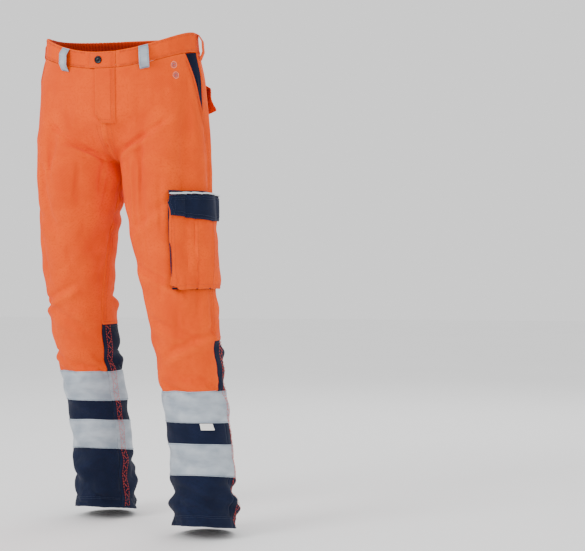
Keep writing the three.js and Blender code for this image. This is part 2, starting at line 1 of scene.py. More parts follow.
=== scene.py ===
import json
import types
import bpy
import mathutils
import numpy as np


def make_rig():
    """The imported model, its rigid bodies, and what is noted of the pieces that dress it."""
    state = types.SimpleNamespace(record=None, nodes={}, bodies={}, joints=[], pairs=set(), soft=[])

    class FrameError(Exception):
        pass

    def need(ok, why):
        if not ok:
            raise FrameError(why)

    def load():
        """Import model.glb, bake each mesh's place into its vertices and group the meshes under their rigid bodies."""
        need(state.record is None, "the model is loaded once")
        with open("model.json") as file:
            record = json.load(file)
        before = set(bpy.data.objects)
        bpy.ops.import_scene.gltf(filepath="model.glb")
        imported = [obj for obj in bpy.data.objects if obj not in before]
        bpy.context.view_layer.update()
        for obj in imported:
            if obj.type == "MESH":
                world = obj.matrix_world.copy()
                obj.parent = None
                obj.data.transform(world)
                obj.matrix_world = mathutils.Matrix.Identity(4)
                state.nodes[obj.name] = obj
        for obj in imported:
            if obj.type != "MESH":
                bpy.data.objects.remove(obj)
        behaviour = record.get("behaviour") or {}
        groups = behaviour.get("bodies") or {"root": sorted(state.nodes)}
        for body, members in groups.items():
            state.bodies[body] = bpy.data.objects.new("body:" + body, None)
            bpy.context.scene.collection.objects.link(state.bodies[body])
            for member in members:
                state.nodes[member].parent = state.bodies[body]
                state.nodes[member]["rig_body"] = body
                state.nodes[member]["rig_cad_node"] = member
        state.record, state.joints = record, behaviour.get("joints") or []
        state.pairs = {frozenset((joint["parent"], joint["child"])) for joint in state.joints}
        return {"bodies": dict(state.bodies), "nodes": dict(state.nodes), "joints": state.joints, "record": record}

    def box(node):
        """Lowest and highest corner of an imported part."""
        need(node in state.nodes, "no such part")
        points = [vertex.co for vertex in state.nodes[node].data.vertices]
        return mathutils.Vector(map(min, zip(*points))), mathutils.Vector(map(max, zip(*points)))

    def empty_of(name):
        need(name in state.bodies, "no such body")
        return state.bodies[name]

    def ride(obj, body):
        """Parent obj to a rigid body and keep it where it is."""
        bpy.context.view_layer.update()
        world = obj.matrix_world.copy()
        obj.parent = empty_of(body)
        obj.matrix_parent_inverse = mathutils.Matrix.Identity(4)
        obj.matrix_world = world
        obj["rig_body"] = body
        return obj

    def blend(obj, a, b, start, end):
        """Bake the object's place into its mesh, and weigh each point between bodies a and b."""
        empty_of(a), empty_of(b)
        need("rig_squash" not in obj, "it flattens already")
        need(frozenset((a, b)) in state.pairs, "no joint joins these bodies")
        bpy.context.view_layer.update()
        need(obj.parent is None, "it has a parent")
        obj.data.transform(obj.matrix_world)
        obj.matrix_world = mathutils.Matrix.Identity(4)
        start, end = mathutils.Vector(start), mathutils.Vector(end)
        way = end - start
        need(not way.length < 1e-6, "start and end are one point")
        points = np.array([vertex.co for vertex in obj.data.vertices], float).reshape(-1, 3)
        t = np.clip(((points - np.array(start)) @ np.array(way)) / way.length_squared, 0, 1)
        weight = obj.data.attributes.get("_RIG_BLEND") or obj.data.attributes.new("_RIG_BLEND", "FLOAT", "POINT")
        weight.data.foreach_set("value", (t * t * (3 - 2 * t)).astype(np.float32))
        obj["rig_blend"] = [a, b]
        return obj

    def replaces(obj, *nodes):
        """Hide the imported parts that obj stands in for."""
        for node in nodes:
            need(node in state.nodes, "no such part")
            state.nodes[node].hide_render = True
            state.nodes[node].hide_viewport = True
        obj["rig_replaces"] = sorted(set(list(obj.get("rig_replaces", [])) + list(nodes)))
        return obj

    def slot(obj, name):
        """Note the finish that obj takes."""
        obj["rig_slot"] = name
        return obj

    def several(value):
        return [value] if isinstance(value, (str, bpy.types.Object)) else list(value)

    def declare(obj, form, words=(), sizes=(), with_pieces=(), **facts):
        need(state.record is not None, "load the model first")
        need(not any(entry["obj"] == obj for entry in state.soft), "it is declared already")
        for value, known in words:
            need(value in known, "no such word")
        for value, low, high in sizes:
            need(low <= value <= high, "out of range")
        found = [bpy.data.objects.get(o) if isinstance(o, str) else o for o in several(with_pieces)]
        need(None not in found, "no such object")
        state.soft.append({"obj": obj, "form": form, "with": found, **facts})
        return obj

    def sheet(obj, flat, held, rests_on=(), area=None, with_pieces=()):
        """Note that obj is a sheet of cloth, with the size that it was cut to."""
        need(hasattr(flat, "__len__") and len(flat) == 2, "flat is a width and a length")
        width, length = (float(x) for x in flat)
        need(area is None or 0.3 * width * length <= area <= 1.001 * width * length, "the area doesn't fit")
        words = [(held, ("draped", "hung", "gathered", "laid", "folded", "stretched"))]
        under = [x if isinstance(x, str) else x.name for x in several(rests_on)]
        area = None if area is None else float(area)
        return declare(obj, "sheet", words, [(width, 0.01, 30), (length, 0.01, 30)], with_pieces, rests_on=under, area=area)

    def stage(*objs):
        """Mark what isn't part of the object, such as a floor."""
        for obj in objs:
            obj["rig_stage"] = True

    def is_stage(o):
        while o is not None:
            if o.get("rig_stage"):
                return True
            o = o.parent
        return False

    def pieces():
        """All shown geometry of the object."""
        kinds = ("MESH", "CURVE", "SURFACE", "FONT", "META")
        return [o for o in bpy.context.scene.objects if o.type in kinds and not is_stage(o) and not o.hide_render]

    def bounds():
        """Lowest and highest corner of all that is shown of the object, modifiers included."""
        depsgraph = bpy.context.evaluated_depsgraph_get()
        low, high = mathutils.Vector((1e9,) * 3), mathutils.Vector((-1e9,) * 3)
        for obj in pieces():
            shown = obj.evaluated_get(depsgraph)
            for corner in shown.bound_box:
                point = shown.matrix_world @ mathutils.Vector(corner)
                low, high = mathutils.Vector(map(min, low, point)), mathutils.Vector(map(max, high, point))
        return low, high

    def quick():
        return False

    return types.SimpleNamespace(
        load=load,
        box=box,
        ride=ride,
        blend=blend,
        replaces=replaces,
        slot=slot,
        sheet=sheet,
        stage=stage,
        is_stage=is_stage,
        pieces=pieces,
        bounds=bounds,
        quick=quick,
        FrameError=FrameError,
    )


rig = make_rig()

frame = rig.load()

import json
import math

import bpy
import numpy as np
from mathutils import Vector

cadBounds = [list(corner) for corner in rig.bounds()]

# The garment's driving sizes, in metres, the same as the frame's. Drops are measured down from the waist.
outseam = 1.045
rise = 0.270
waistHalf = 0.165
band = 0.042
heelDrop = 0.014
frontDip = 0.051
backRise = 0.012
tapeWidth = 0.070
tapeSpace = 0.046
cuffs = {"left": 0.109, "right": 0.138}
calfAboveTape = 0.110
slantReach = 0.055
slantDrop = 0.222
cargoTop = 0.342
cargoDrop = 0.535
flyLength = 0.132

# Sections as shares of waistHalf: (place, side, back) on the torso and (place, half, deep) on a leg.
torsoRows = [
    (0, 1.0, 0.764), (0.156, 1.018, 0.909), (0.37, 1.09, 0.985), (0.63, 1.133, 0.97), (1, 1.18, 0.94),
]
legRows = [
    (0, 0.588, 0.788), (0.19, 0.515, 0.618), (0.38, 0.45, 0.515), (0.55, 0.424, 0.437),
    (0.78, 0.406, 0.418), (1, 0.412, 0.448),
]
# How each leg stands: place, how far out and back its centre is, and its turn in half-turns.
stance = {
    "left": [(0, 0, 0.020, 0), (0.19, 0.014, 0.005, 0.04), (0.46, 0.046, 0.004, 0.11),
             (0.65, 0.059, 0.022, 0.1), (0.8, 0.070, 0.032, 0.06), (1, 0.076, 0.037, 0.08)],
    "right": [(0, 0, 0.020, 0), (0.19, 0.022, 0.050, -0.06), (0.39, 0.031, 0.095, -0.17),
              (0.56, 0.032, 0.143, -0.21), (0.8, 0.027, 0.200, -0.21), (1, 0.024, 0.218, -0.21)],
}
sides = ("left", "right")
sign = {"left": 1.0, "right": -1.0}


def smooth(x):
    x = np.clip(x, 0, 1)
    return x * x * (3 - 2 * x)


def mix(a, b, k):
    return a + (b - a) * k


def bump(x, centre, width):
    return np.exp(-(((x - centre) / width) ** 2))


# A smooth curve through one column of a table.
def track(rows, column, at):
    xs = np.array([row[0] for row in rows], float)
    ys = np.array([row[column] for row in rows], float)
    slope = np.gradient(ys, xs)
    slope[1:-1] = (ys[2:] - ys[:-2]) / (xs[2:] - xs[:-2])
    if rows is not torsoRows:
        slope[0] = 0
    i = np.clip(np.searchsorted(xs, at, side="right") - 1, 0, len(xs) - 2)
    gap = xs[i + 1] - xs[i]
    x = np.clip((at - xs[i]) / gap, 0, 1)
    return (
        (2 * x**3 - 3 * x**2 + 1) * ys[i] + (3 * x**2 - 2 * x**3) * ys[i + 1]
        + ((x**3 - 2 * x**2 + x) * slope[i] + (x**3 - x**2) * slope[i + 1]) * gap
    )


# The smooth garment: t is 0 at the side seam, 1 at the front centre and inseam, -1 at the back.
def plainSurface(side, t, drop):
    t, drop = np.broadcast_arrays(np.asarray(t, float), np.asarray(drop, float))
    below = np.clip((drop - rise) / (outseam - rise), 0, 1)
    legAngle = np.pi * (t + track(stance[side], 3, below))
    centre = waistHalf * legRows[0][1] + track(stance[side], 1, below)
    legX = centre + waistHalf * track(legRows, 1, below) * np.cos(legAngle)
    legY = track(stance[side], 2, below) - waistHalf * track(legRows, 2, below) * np.sin(legAngle)
    at = drop / rise
    angle = np.pi * t / 2
    deep = np.where(t > 0, mix(0.706, 0.65, np.clip(at, 0, 1)), track(torsoRows, 2, at))
    torsoX = waistHalf * track(torsoRows, 1, at) * np.cos(angle)
    torsoY = -np.sin(angle) * waistHalf * deep
    edge = t**4
    height = mix(0.55, np.where(t > 0, 0.34, 0.5), edge) * rise
    u = np.clip((drop - rise + height) / height, 0, 1)
    joined = mix(smooth(u), 1 - np.sqrt(1 - u * u), edge)
    lean = np.where(t > 0, -frontDip, backRise)
    tilt = lean * (0.5 - 0.5 * np.cos(np.pi * t)) * np.clip(1 - at, 0, 1)
    heel = heelDrop * np.sin(legAngle) * smooth(below * 2 - 1)
    x = sign[side] * mix(torsoX, legX, joined)
    return np.stack([x, mix(torsoY, legY, joined), -drop + tilt + heel], axis=-1)


def tapeTops(side):
    lower = outseam - cuffs[side] - tapeWidth
    return {"upper": lower - tapeSpace - tapeWidth, "lower": lower}


columns, rowCount = 72, 150
gridT = np.linspace(-1, 1, columns + 1)
gridDrop = np.linspace(0, outseam, rowCount + 1)
clothSetup = {
    "frames": 26,
    "slackKnee": 0.10,
    "slackCuff": 0.16,
    "slackSeat": 0.08,
    "widen": 0.03,
    "tension": 22.0,
    "bending": 0.35,
    "hold": 0.10,
    "mass": 0.25,
    "air": 2,
    "gravity": 0.3,
}


# How much longer the cloth is cut than the leg it covers, at each height.
def slack(side, drop):
    cuffTop = tapeTops(side)["lower"] + tapeWidth
    knee = clothSetup["slackKnee"] * bump(drop, 0.56, 0.14)
    seat = clothSetup["slackSeat"] * bump(drop, 0.27, 0.09)
    return knee + seat + clothSetup["slackCuff"] * smooth((drop - cuffTop + 0.02) / 0.04)


# Slow waves that decide where the cloth buckles.
def startNoise(side, t, drop):
    s = sign[side]
    wave = np.sin(9 * drop * 10 + 2.2 * np.pi * t + s)
    wave = wave + 0.7 * np.sin(6.1 * drop * 10 - 3.1 * np.pi * t + 2 * s)
    wave = wave + 0.6 * np.sin(14 * drop * 10 + 5 * np.pi * t * s)
    return 0.0012 * wave * smooth((drop - 0.12) / 0.1)


# Unit normals of a grid of points, facing away from the leg or body.
def normalsOf(points):
    across = np.gradient(points, axis=0)
    down = np.gradient(points, axis=1)
    n = np.cross(across, down)
    return n / np.maximum(np.linalg.norm(n, axis=-1, keepdims=True), 1e-12)


def simulate():
    start, cut = {}, {}
    t, drop = np.meshgrid(gridT, gridDrop, indexing="ij")
    for side in sides:
        base = plainSurface(side, t, drop)
        out = normalsOf(base) * sign[side]
        start[side] = base + out * startNoise(side, t, drop)[..., None]
        extra = np.concatenate([[0], np.cumsum(slack(side, gridDrop[1:]) * np.diff(gridDrop))])
        wider = clothSetup["widen"] * smooth((drop - 0.3) / 0.1)
        middle = base.mean(axis=0, keepdims=True)
        cut[side] = base + (base - middle) * wider[..., None]
        cut[side][..., 2] -= extra[None, :]
    keys, order, index = {}, [], {}
    for side in sides:
        table = np.zeros((columns + 1, rowCount + 1), int)
        for i in range(columns + 1):
            for j in range(rowCount + 1):
                shared = i in (0, columns) and gridDrop[j] < rise
                k = ("centre", i, j) if shared else (side, i % columns, j)
                if k not in keys:
                    keys[k] = len(order)
                    order.append((side, i, j))
                table[i, j] = keys[k]
        index[side] = table
    faces = []
    for side in sides:
        q = index[side]
        faces += np.stack([q[:-1, :-1], q[1:, :-1], q[1:, 1:], q[:-1, 1:]], -1).reshape(-1, 4).tolist()
    pick = lambda grids: np.array([grids[s][i, j] for s, i, j in order])
    mesh = bpy.data.meshes.new("clothShell")
    mesh.from_pydata(pick(start).tolist(), [], faces)
    shell = bpy.data.objects.new("clothShell", mesh)
    bpy.context.scene.collection.objects.link(shell)
    shell.shape_key_add(name="worn")
    key = shell.shape_key_add(name="cut")
    key.data.foreach_set("co", pick(cut).ravel())
    shell.active_shape_key_index = 0
    held = shell.vertex_groups.new(name="held")
    for n, (side, i, j) in enumerate(order):
        d = gridDrop[j]
        firm = 1 - smooth((d - 0.05) / 0.08)
        hem = 0.5 * smooth((d - outseam + 0.012) / 0.012)
        tapes = tapeTops(side)
        near = max(bump(d, tapes[k] + tapeWidth / 2, tapeWidth * 0.55) for k in tapes)
        flyHeld = smooth((gridT[i] - 0.72) / 0.12) * (1 - smooth((d - 0.185) / 0.035))
        held.add([n], float(max(firm, hem, flyHeld, clothSetup["hold"] + 0.25 * near)), "REPLACE")
    cloth = shell.modifiers.new("cloth", "CLOTH")
    c = cloth.settings
    c.quality = 5
    c.mass = clothSetup["mass"]
    c.tension_stiffness = c.compression_stiffness = clothSetup["tension"]
    c.shear_stiffness = clothSetup["tension"] / 3
    c.bending_stiffness = clothSetup["bending"]
    c.air_damping = clothSetup["air"]
    c.vertex_group_mass = "held"
    c.pin_stiffness = 1
    c.rest_shape_key = key
    c.effector_weights.gravity = clothSetup["gravity"]
    cloth.collision_settings.use_collision = False
    cloth.point_cache.frame_end = clothSetup["frames"]
    scene = bpy.context.scene
    for f in range(1, clothSetup["frames"] + 1):
        scene.frame_set(f)
    made = shell.evaluated_get(bpy.context.evaluated_depsgraph_get()).to_mesh()
    co = np.zeros(len(made.vertices) * 3)
    made.vertices.foreach_get("co", co)
    co = co.reshape(-1, 3)
    bpy.data.objects.remove(shell)
    scene.frame_set(1)
    return {side: co[index[side]] for side in sides}


foldSize = {"cuff": 0.0075, "fine": 0.0022, "drag": 2.0}
# Drag lines: the drop where the line meets t = 0, its slope, depth, width, and where along t it runs.
dragLines = {
    "left": [
        (0.62, 0.10, 0.0030, 0.010, -0.1, 0.55), (0.57, -0.12, 0.0025, 0.009, 0.2, 0.8),
        (0.66, -0.10, 0.0025, 0.012, 0.1, 0.7), (0.10, 0.18, 0.0030, 0.012, 0.40, 0.86),
        (0.16, 0.10, 0.0025, 0.010, 0.45, 0.88), (0.30, 0.16, 0.0020, 0.012, 0.3, 0.8),
        (0.24, -0.08, 0.0030, 0.012, -1.05, -0.5), (0.30, -0.06, 0.0030, 0.013, -1.05, -0.45),
        (0.60, 0.06, 0.0035, 0.012, -0.9, -0.2), (0.64, -0.05, 0.0030, 0.011, -0.9, -0.1),
    ],
    "right": [
        (0.60, -0.10, 0.0030, 0.010, 0.1, 0.8), (0.64, 0.10, 0.0025, 0.010, 0.0, 0.6),
        (0.52, 0.12, 0.0020, 0.012, 0.2, 0.9), (0.10, 0.19, 0.0030, 0.012, 0.40, 0.86),
        (0.17, 0.10, 0.0025, 0.010, 0.45, 0.88), (0.35, 0.10, 0.0020, 0.014, 0.2, 0.7),
        (0.25, -0.08, 0.0030, 0.012, -1.05, -0.5), (0.32, -0.06, 0.0030, 0.013, -1.05, -0.45),
        (0.59, 0.06, 0.0035, 0.012, -0.9, -0.2), (0.64, -0.05, 0.0030, 0.011, -0.9, -0.1),
    ],
}


# Given folds, in metres off the cloth: a few long drag lines and the crumple above each hem.
def bentBy(side, t, drop):
    cuffTop = tapeTops(side)["lower"] + tapeWidth
    cuff = smooth((drop - cuffTop + 0.01) / 0.03) * smooth((outseam - drop) / 0.05)
    span = outseam - cuffTop
    k = (drop - cuffTop) / span
    phase = 0.9 if side == "left" else 2.6
    folds = np.sin(np.pi * (1.7 * k + 0.45 * np.sin(np.pi * t + phase) + 0.18 * np.sin(3 * np.pi * t)))
    fine = np.sin(2 * np.pi * (3.6 * k - 0.5 * np.sin(2 * np.pi * t + phase) + 0.3 * t))
    fine = fine * bump(np.sin(np.pi * t + phase), 0.6, 0.7)
    crumple = (1 - 2 * np.abs(folds) ** 1.6) * (0.65 + 0.35 * np.cos(2 * np.pi * t + phase))
    out = cuff * (foldSize["cuff"] * crumple + foldSize["fine"] * fine)
    for centre, slope, deep, wide, low, high in dragLines[side]:
        line = drop - centre - slope * t
        along = smooth((t - low) / 0.12) * smooth((high - t) / 0.12)
        crease = 0.6 * bump(line, 1.7 * wide, wide) - bump(line, 0, wide * 0.8)
        out = out + foldSize["drag"] * deep * crease * along
    return out


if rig.quick():
    tt, dd = np.meshgrid(gridT, gridDrop, indexing="ij")
    worn = {side: plainSurface(side, tt, dd) for side in sides}
else:
    worn = simulate()
for side in sides:
    n = normalsOf(worn[side]) * sign[side]
    tt, dd = np.meshgrid(gridT, gridDrop, indexing="ij")
    worn[side] = worn[side] + n * bentBy(side, tt, dd)[..., None]
print("cloth settled")


# Smooth reading of a grid between its points, by cubic weights.
def sampled(grid, u, v):
    def weights(x, count):
        i = np.clip(np.floor(x).astype(int), 0, count - 2)
        f = x - i
        w = [
            -0.5 * f + f**2 - 0.5 * f**3,
            1 - 2.5 * f**2 + 1.5 * f**3,
            0.5 * f + 2 * f**2 - 1.5 * f**3,
            -0.5 * f**2 + 0.5 * f**3,
        ]
        return i, w
    iu, wu = weights(u, grid.shape[0])
    iv, wv = weights(v, grid.shape[1])
    total = 0
    for a in range(4):
        for b in range(4):
            ii = np.clip(iu + a - 1, 0, grid.shape[0] - 1)
            jj = np.clip(iv + b - 1, 0, grid.shape[1] - 1)
            total = total + grid[ii, jj] * (wu[a] * wv[b])[..., None]
    return total


# Points on the settled cloth, or off it by out.
def onCloth(side, t, drop, out=0.0):
    t, drop, out = np.broadcast_arrays(*(np.asarray(x, float) for x in (t, drop, out)))
    def at(a, b):
        i, j = (np.clip(a, -1, 1) + 1) * columns / 2, np.clip(b, 0, outseam) / outseam * rowCount
        return sampled(worn[side], i, j)
    e, h = 0.006, 0.0025
    p = at(t, drop)
    n = np.cross(at(t + e, drop) - at(t - e, drop), at(t, drop + h) - at(t, drop - h)) * sign[side]
    n = n / np.maximum(np.linalg.norm(n, axis=-1, keepdims=True), 1e-12)
    return p + n * out[..., None]


# The front across the centre, by x, with the left over the right.
def onFront(x, drop, out=0.0):
    x, drop, out = np.broadcast_arrays(*(np.asarray(v, float) for v in (x, drop, out)))
    half = waistHalf * track(torsoRows, 1, drop / rise)
    t = 2 / np.pi * np.arccos(np.clip(np.abs(x) / half, 0, 1))
    return np.where(x[..., None] >= 0, onCloth("left", t, drop, out), onCloth("right", t, drop, out))


# body: where its cloth leaves the seam it bends from, and where it moves wholly with the flap.
softHinges = {}


# Every piece is finished here: its mesh, its material, the body it moves with and the CAD node it stands for.
def finishPiece(name, node, material, vertices, faces, body="garment", uv=None, flat=False):
    mesh = bpy.data.meshes.new(name)
    mesh.from_pydata([tuple(v) for v in vertices], [], faces)
    if uv is not None:
        layer = mesh.uv_layers.new(name="cloth")
        loops = np.zeros(len(mesh.loops), int)
        mesh.loops.foreach_get("vertex_index", loops)
        layer.data.foreach_set("uv", np.asarray(uv, float)[loops].ravel())
    mesh.polygons.foreach_set("use_smooth", [not flat] * len(mesh.polygons))
    mesh.validate()
    mesh.update()
    piece = bpy.data.objects.new(name, mesh)
    bpy.context.scene.collection.objects.link(piece)
    piece.data.materials.append(material)
    if body in softHinges:
        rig.blend(piece, "garment", body, *softHinges[body])
    else:
        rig.ride(piece, body)
    if node:
        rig.replaces(piece, node)
        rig.slot(piece, slotOf[material.name])
    return piece


# A closed sheet of cloth from two grids of points, with its own flat size in metres as its UV map.
def sheetPiece(name, node, material, outer, inner, body="garment"):
    nu, nv = outer.shape[:2]
    vertices = np.concatenate([outer.reshape(-1, 3), inner.reshape(-1, 3)])
    i = np.arange(nu * nv).reshape(nu, nv)
    front = np.stack([i[:-1, :-1], i[:-1, 1:], i[1:, 1:], i[1:, :-1]], -1).reshape(-1, 4)
    back = front[:, ::-1] + nu * nv
    def rim(edge):
        a, b = edge[:-1], edge[1:]
        return np.stack([b, a, a + nu * nv, b + nu * nv], -1)
    rims = [rim(i[:, 0][::-1]), rim(i[:, -1]), rim(i[0, :]), rim(i[-1, :][::-1])]
    faces = np.concatenate([front, back, *rims])
    normal = np.cross(outer[0, 1] - outer[0, 0], outer[1, 0] - outer[0, 0])
    if np.dot(normal, outer[0, 0] - inner[0, 0]) < 0:
        faces = faces[:, ::-1]
    length = np.linalg.norm(np.diff(outer, axis=1), axis=-1).mean(axis=0)
    width = np.linalg.norm(np.diff(outer, axis=0), axis=-1).mean(axis=1)
    u, v = (np.concatenate([[0], np.cumsum(steps)]) for steps in (width, length))
    uv = np.stack(np.meshgrid(u, v, indexing="ij"), -1).reshape(-1, 2)
    return finishPiece(name, node, material, vertices, faces.tolist(), body, np.concatenate([uv, uv]))


def linear(hexColour):
    parts = [int(hexColour[i:i + 2], 16) / 255 for i in (1, 3, 5)]
    return tuple(c / 12.92 if c <= 0.04045 else ((c + 0.055) / 1.055) ** 2.4 for c in parts) + (1.0,)


# Adds a node. settings are its own fields, and each input is a value or the socket it is joined to.
def put(tree, kind, inputs=(), **settings):
    node = tree.nodes.new(kind)
    for name, value in settings.items():
        setattr(node, name, value)
    for key, value in dict(inputs).items():
        if isinstance(value, bpy.types.NodeSocket):
            tree.links.new(value, node.inputs[key])
        else:
            node.inputs[key].default_value = value
    return node


def newMaterial(name, looks):
    material = bpy.data.materials.new(name)
    material.use_nodes = True
    tree = material.node_tree
    tree.nodes.clear()
    shader = put(tree, "ShaderNodeBsdfPrincipled", looks)
    put(tree, "ShaderNodeOutputMaterial", {"Surface": shader.outputs[0]})
    return material, tree, shader


# Woven polyester-cotton twill: a matt cloth with a slanting rib, a faint nap on its folds and uneven dye.
# Its real rib is about 0.5 mm and is drawn at 2.8 mm, the finest that shows.
def wovenTwill(name, looks):
    material, tree, shader = newMaterial(name, {
        "Roughness": 0.86, "Specular IOR Level": 0.12, "Sheen Weight": looks["nap"], "Sheen Roughness": 0.45,
        "Emission Strength": looks["glow"],
    })
    colour, shade, light = (linear(looks[key]) for key in ("colour", "shade", "light"))
    uv = put(tree, "ShaderNodeUVMap", uv_map="cloth").outputs[0]
    turn = (0, 0, math.radians(62))
    slanted = put(tree, "ShaderNodeMapping", {"Vector": uv, "Rotation": turn}).outputs[0]
    ribLooks = {"Vector": slanted, "Scale": 0.314 / looks["ribPitch"], "Distortion": 0.6, "Detail": 1.5}
    rib = put(tree, "ShaderNodeTexWave", ribLooks).outputs["Fac"]
    patchyLooks = {"Vector": uv, "Scale": 14.0, "Detail": 4.0, "Roughness": 0.6}
    patchy = put(tree, "ShaderNodeTexNoise", patchyLooks).outputs["Fac"]
    speck = put(tree, "ShaderNodeTexNoise", {"Vector": uv, "Scale": 240.0, "Detail": 2.0}).outputs["Fac"]
    # Slow unevenness of the dye and of handling, so a wide panel isn't one flat tone.
    uneven = put(tree, "ShaderNodeMapRange", {"Value": patchy, "From Min": 0.35, "From Max": 0.68}).outputs[0]
    base = put(tree, "ShaderNodeMix", {0: uneven, 6: shade, 7: colour}, data_type="RGBA").outputs[2]
    # Small specks where single yarns took the dye differently.
    speckRange = {"Value": speck, "From Min": 0.5, "From Max": 0.66, "To Max": 0.75}
    specks = put(tree, "ShaderNodeMapRange", speckRange).outputs[0]
    base = put(tree, "ShaderNodeMix", {0: specks, 6: base, 7: shade}, data_type="RGBA").outputs[2]
    # Painted highlight on the rib's ridges, mixed towards the lighter tone where they would catch the light; it is the
    # grain seen up close.
    paintedRidgeHighlight = put(tree, "ShaderNodeMath", {0: rib, 1: 0.22}, operation="MULTIPLY").outputs[0]
    base = put(tree, "ShaderNodeMix", {0: paintedRidgeHighlight, 6: base, 7: light}, data_type="RGBA").outputs[2]
    # Worn fold edges go paler.
    edge = put(tree, "ShaderNodeNewGeometry").outputs["Pointiness"]
    edgeRange = {"Value": edge, "From Min": 0.51, "From Max": 0.56, "To Max": 0.2}
    rubbed = put(tree, "ShaderNodeMapRange", edgeRange).outputs[0]
    base = put(tree, "ShaderNodeMix", {0: rubbed, 6: base, 7: light}, data_type="RGBA").outputs[2]
    tree.links.new(base, shader.inputs["Base Color"])
    if looks["glow"]:
        # Painted glow: the cloth's own colour is given off as light whatever falls on it, standing in for the
        # fluorescent dye's bright return.
        tree.links.new(base, shader.inputs["Emission Color"])
    slub = put(tree, "ShaderNodeTexNoise", {"Vector": uv, "Scale": 420.0, "Detail": 3.0}).outputs["Fac"]
    weave = put(tree, "ShaderNodeMath", {0: slub, 1: 0.8, 2: rib}, operation="MULTIPLY_ADD").outputs[0]
    dents = put(tree, "ShaderNodeTexNoise", {"Vector": uv, "Scale": 30.0, "Detail": 3.0}).outputs["Fac"]
    soft = put(tree, "ShaderNodeBump", {"Height": dents, "Strength": 0.5, "Distance": 0.006}).outputs[0]
    fineLooks = {"Height": weave, "Normal": soft, "Strength": 0.4, "Distance": 0.0006}
    tree.links.new(put(tree, "ShaderNodeBump", fineLooks).outputs[0], shader.inputs["Normal"])
    return material


# Glass-bead tape on a fabric backing: a grey film with a slight metallic return, fine beads and creases.
# The beads are about 0.06 mm and are drawn at 1.1 mm.
def beadedTape(name, looks):
    material, tree, shader = newMaterial(name, {"Metallic": 0.15, "Roughness": 0.48})
    shade, colour = linear(looks["shade"]), linear(looks["colour"])
    uv = put(tree, "ShaderNodeUVMap", uv_map="cloth").outputs[0]
    beads = put(tree, "ShaderNodeTexVoronoi", {"Vector": uv, "Scale": 900.0}).outputs["Distance"]
    drawn = put(tree, "ShaderNodeMapping", {"Vector": uv, "Scale": (14, 26, 1)}).outputs[0]
    crease = put(tree, "ShaderNodeTexNoise", {"Vector": drawn, "Scale": 1.6, "Detail": 4.0}).outputs["Fac"]
    uneven = put(tree, "ShaderNodeMapRange", {"Value": crease, "From Min": 0.35, "From Max": 0.65}).outputs[0]
    base = put(tree, "ShaderNodeMix", {0: uneven, 6: shade, 7: colour}, data_type="RGBA").outputs[2]
    tree.links.new(base, shader.inputs["Base Color"])
    soft = put(tree, "ShaderNodeBump", {"Height": crease, "Strength": 0.5, "Distance": 0.004}).outputs[0]
    fineLooks = {"Height": beads, "Normal": soft, "Strength": 0.25, "Distance": 0.0004}
    tree.links.new(put(tree, "ShaderNodeBump", fineLooks).outputs[0], shader.inputs["Normal"])
    return material


# Moulded, plated or spun surfaces: one colour with a fine grain, dulled in patches by handling.
def grained(name, looks):
    material, tree, shader = newMaterial(name, {"Metallic": looks["metallic"]})
    shade, colour, rough = linear(looks["shade"]), linear(looks["colour"]), looks["roughness"]
    place = put(tree, "ShaderNodeTexCoord").outputs["Object"]
    grainLooks = {"Vector": place, "Scale": looks["grain"], "Detail": 3.0}
    noise = put(tree, "ShaderNodeTexNoise", grainLooks).outputs["Fac"]
    uneven = put(tree, "ShaderNodeMapRange", {"Value": noise, "From Min": 0.35, "From Max": 0.65}).outputs[0]
    base = put(tree, "ShaderNodeMix", {0: uneven, 6: shade, 7: colour}, data_type="RGBA").outputs[2]
    tree.links.new(base, shader.inputs["Base Color"])
    handled = {"Value": uneven, "To Min": rough * 0.8, "To Max": rough * 1.15}
    tree.links.new(put(tree, "ShaderNodeMapRange", handled).outputs[0], shader.inputs["Roughness"])
    bumps = put(tree, "ShaderNodeBump", {"Height": noise, "Strength": 0.3, "Distance": looks["depth"]})
    tree.links.new(bumps.outputs[0], shader.inputs["Normal"])
    return material


twillLooks = {
    "orange": {"colour": "#f05400", "shade": "#dc4200", "light": "#f46810", "nap": 0.02, "glow": 0.02},
    # The next look is the orange twill darkened to red: painted shade for the inside of the waistband.
    "orangeInPaintedShade": {"colour": "#a82606", "shade": "#8c1c06", "light": "#c03a14", "nap": 0.04, "glow": 0.0},
    "navy": {"colour": "#131b34", "shade": "#0b1124", "light": "#27324f", "nap": 0.05, "glow": 0.0},
    "label": {"colour": "#f2f1ec", "shade": "#e2e0da", "light": "#ffffff", "nap": 0.1, "glow": 0.0},
    "elastic": {"colour": "#e8e6df", "shade": "#cfcdc6", "light": "#f6f4ee", "nap": 0.1, "glow": 0.0},
}
ribPitches = {"orange": 0.0028, "orangeInPaintedShade": 0.0028, "navy": 0.0028, "label": 0.002, "elastic": 0.0035}
for cloth, pitch in ribPitches.items():
    twillLooks[cloth]["ribPitch"] = pitch
grainedLooks = {
    "metal": {"colour": "#2a2c31", "shade": "#17181b", "roughness": 0.32, "metallic": 0.9},
    "zipTeeth": {"colour": "#16181d", "shade": "#0b0c0f", "roughness": 0.45, "metallic": 0.0},
    "gripTape": {"colour": "#15171c", "shade": "#08090b", "roughness": 0.85, "metallic": 0.0},
    "piping": {"colour": "#dde1e4", "shade": "#a9b0b6", "roughness": 0.7, "metallic": 0.0},
    "thread": {"roughness": 0.6, "metallic": 0.0},
}
# How fine each one's grain is, and how deep in metres.
grains = {
    "metal": (600.0, 0.0002), "zipTeeth": (600.0, 0.0002), "gripTape": (1400.0, 0.001),
    "piping": (1500.0, 0.0004), "thread": (3000.0, 0.0001),
}
for part, (grain, depth) in grains.items():
    grainedLooks[part].update(grain=grain, depth=depth)
threadColours = {"orange": "#c94a08", "navy": "#1c2745", "red": "#e4452a", "pink": "#f0b09c", "grey": "#5f7f9c"}

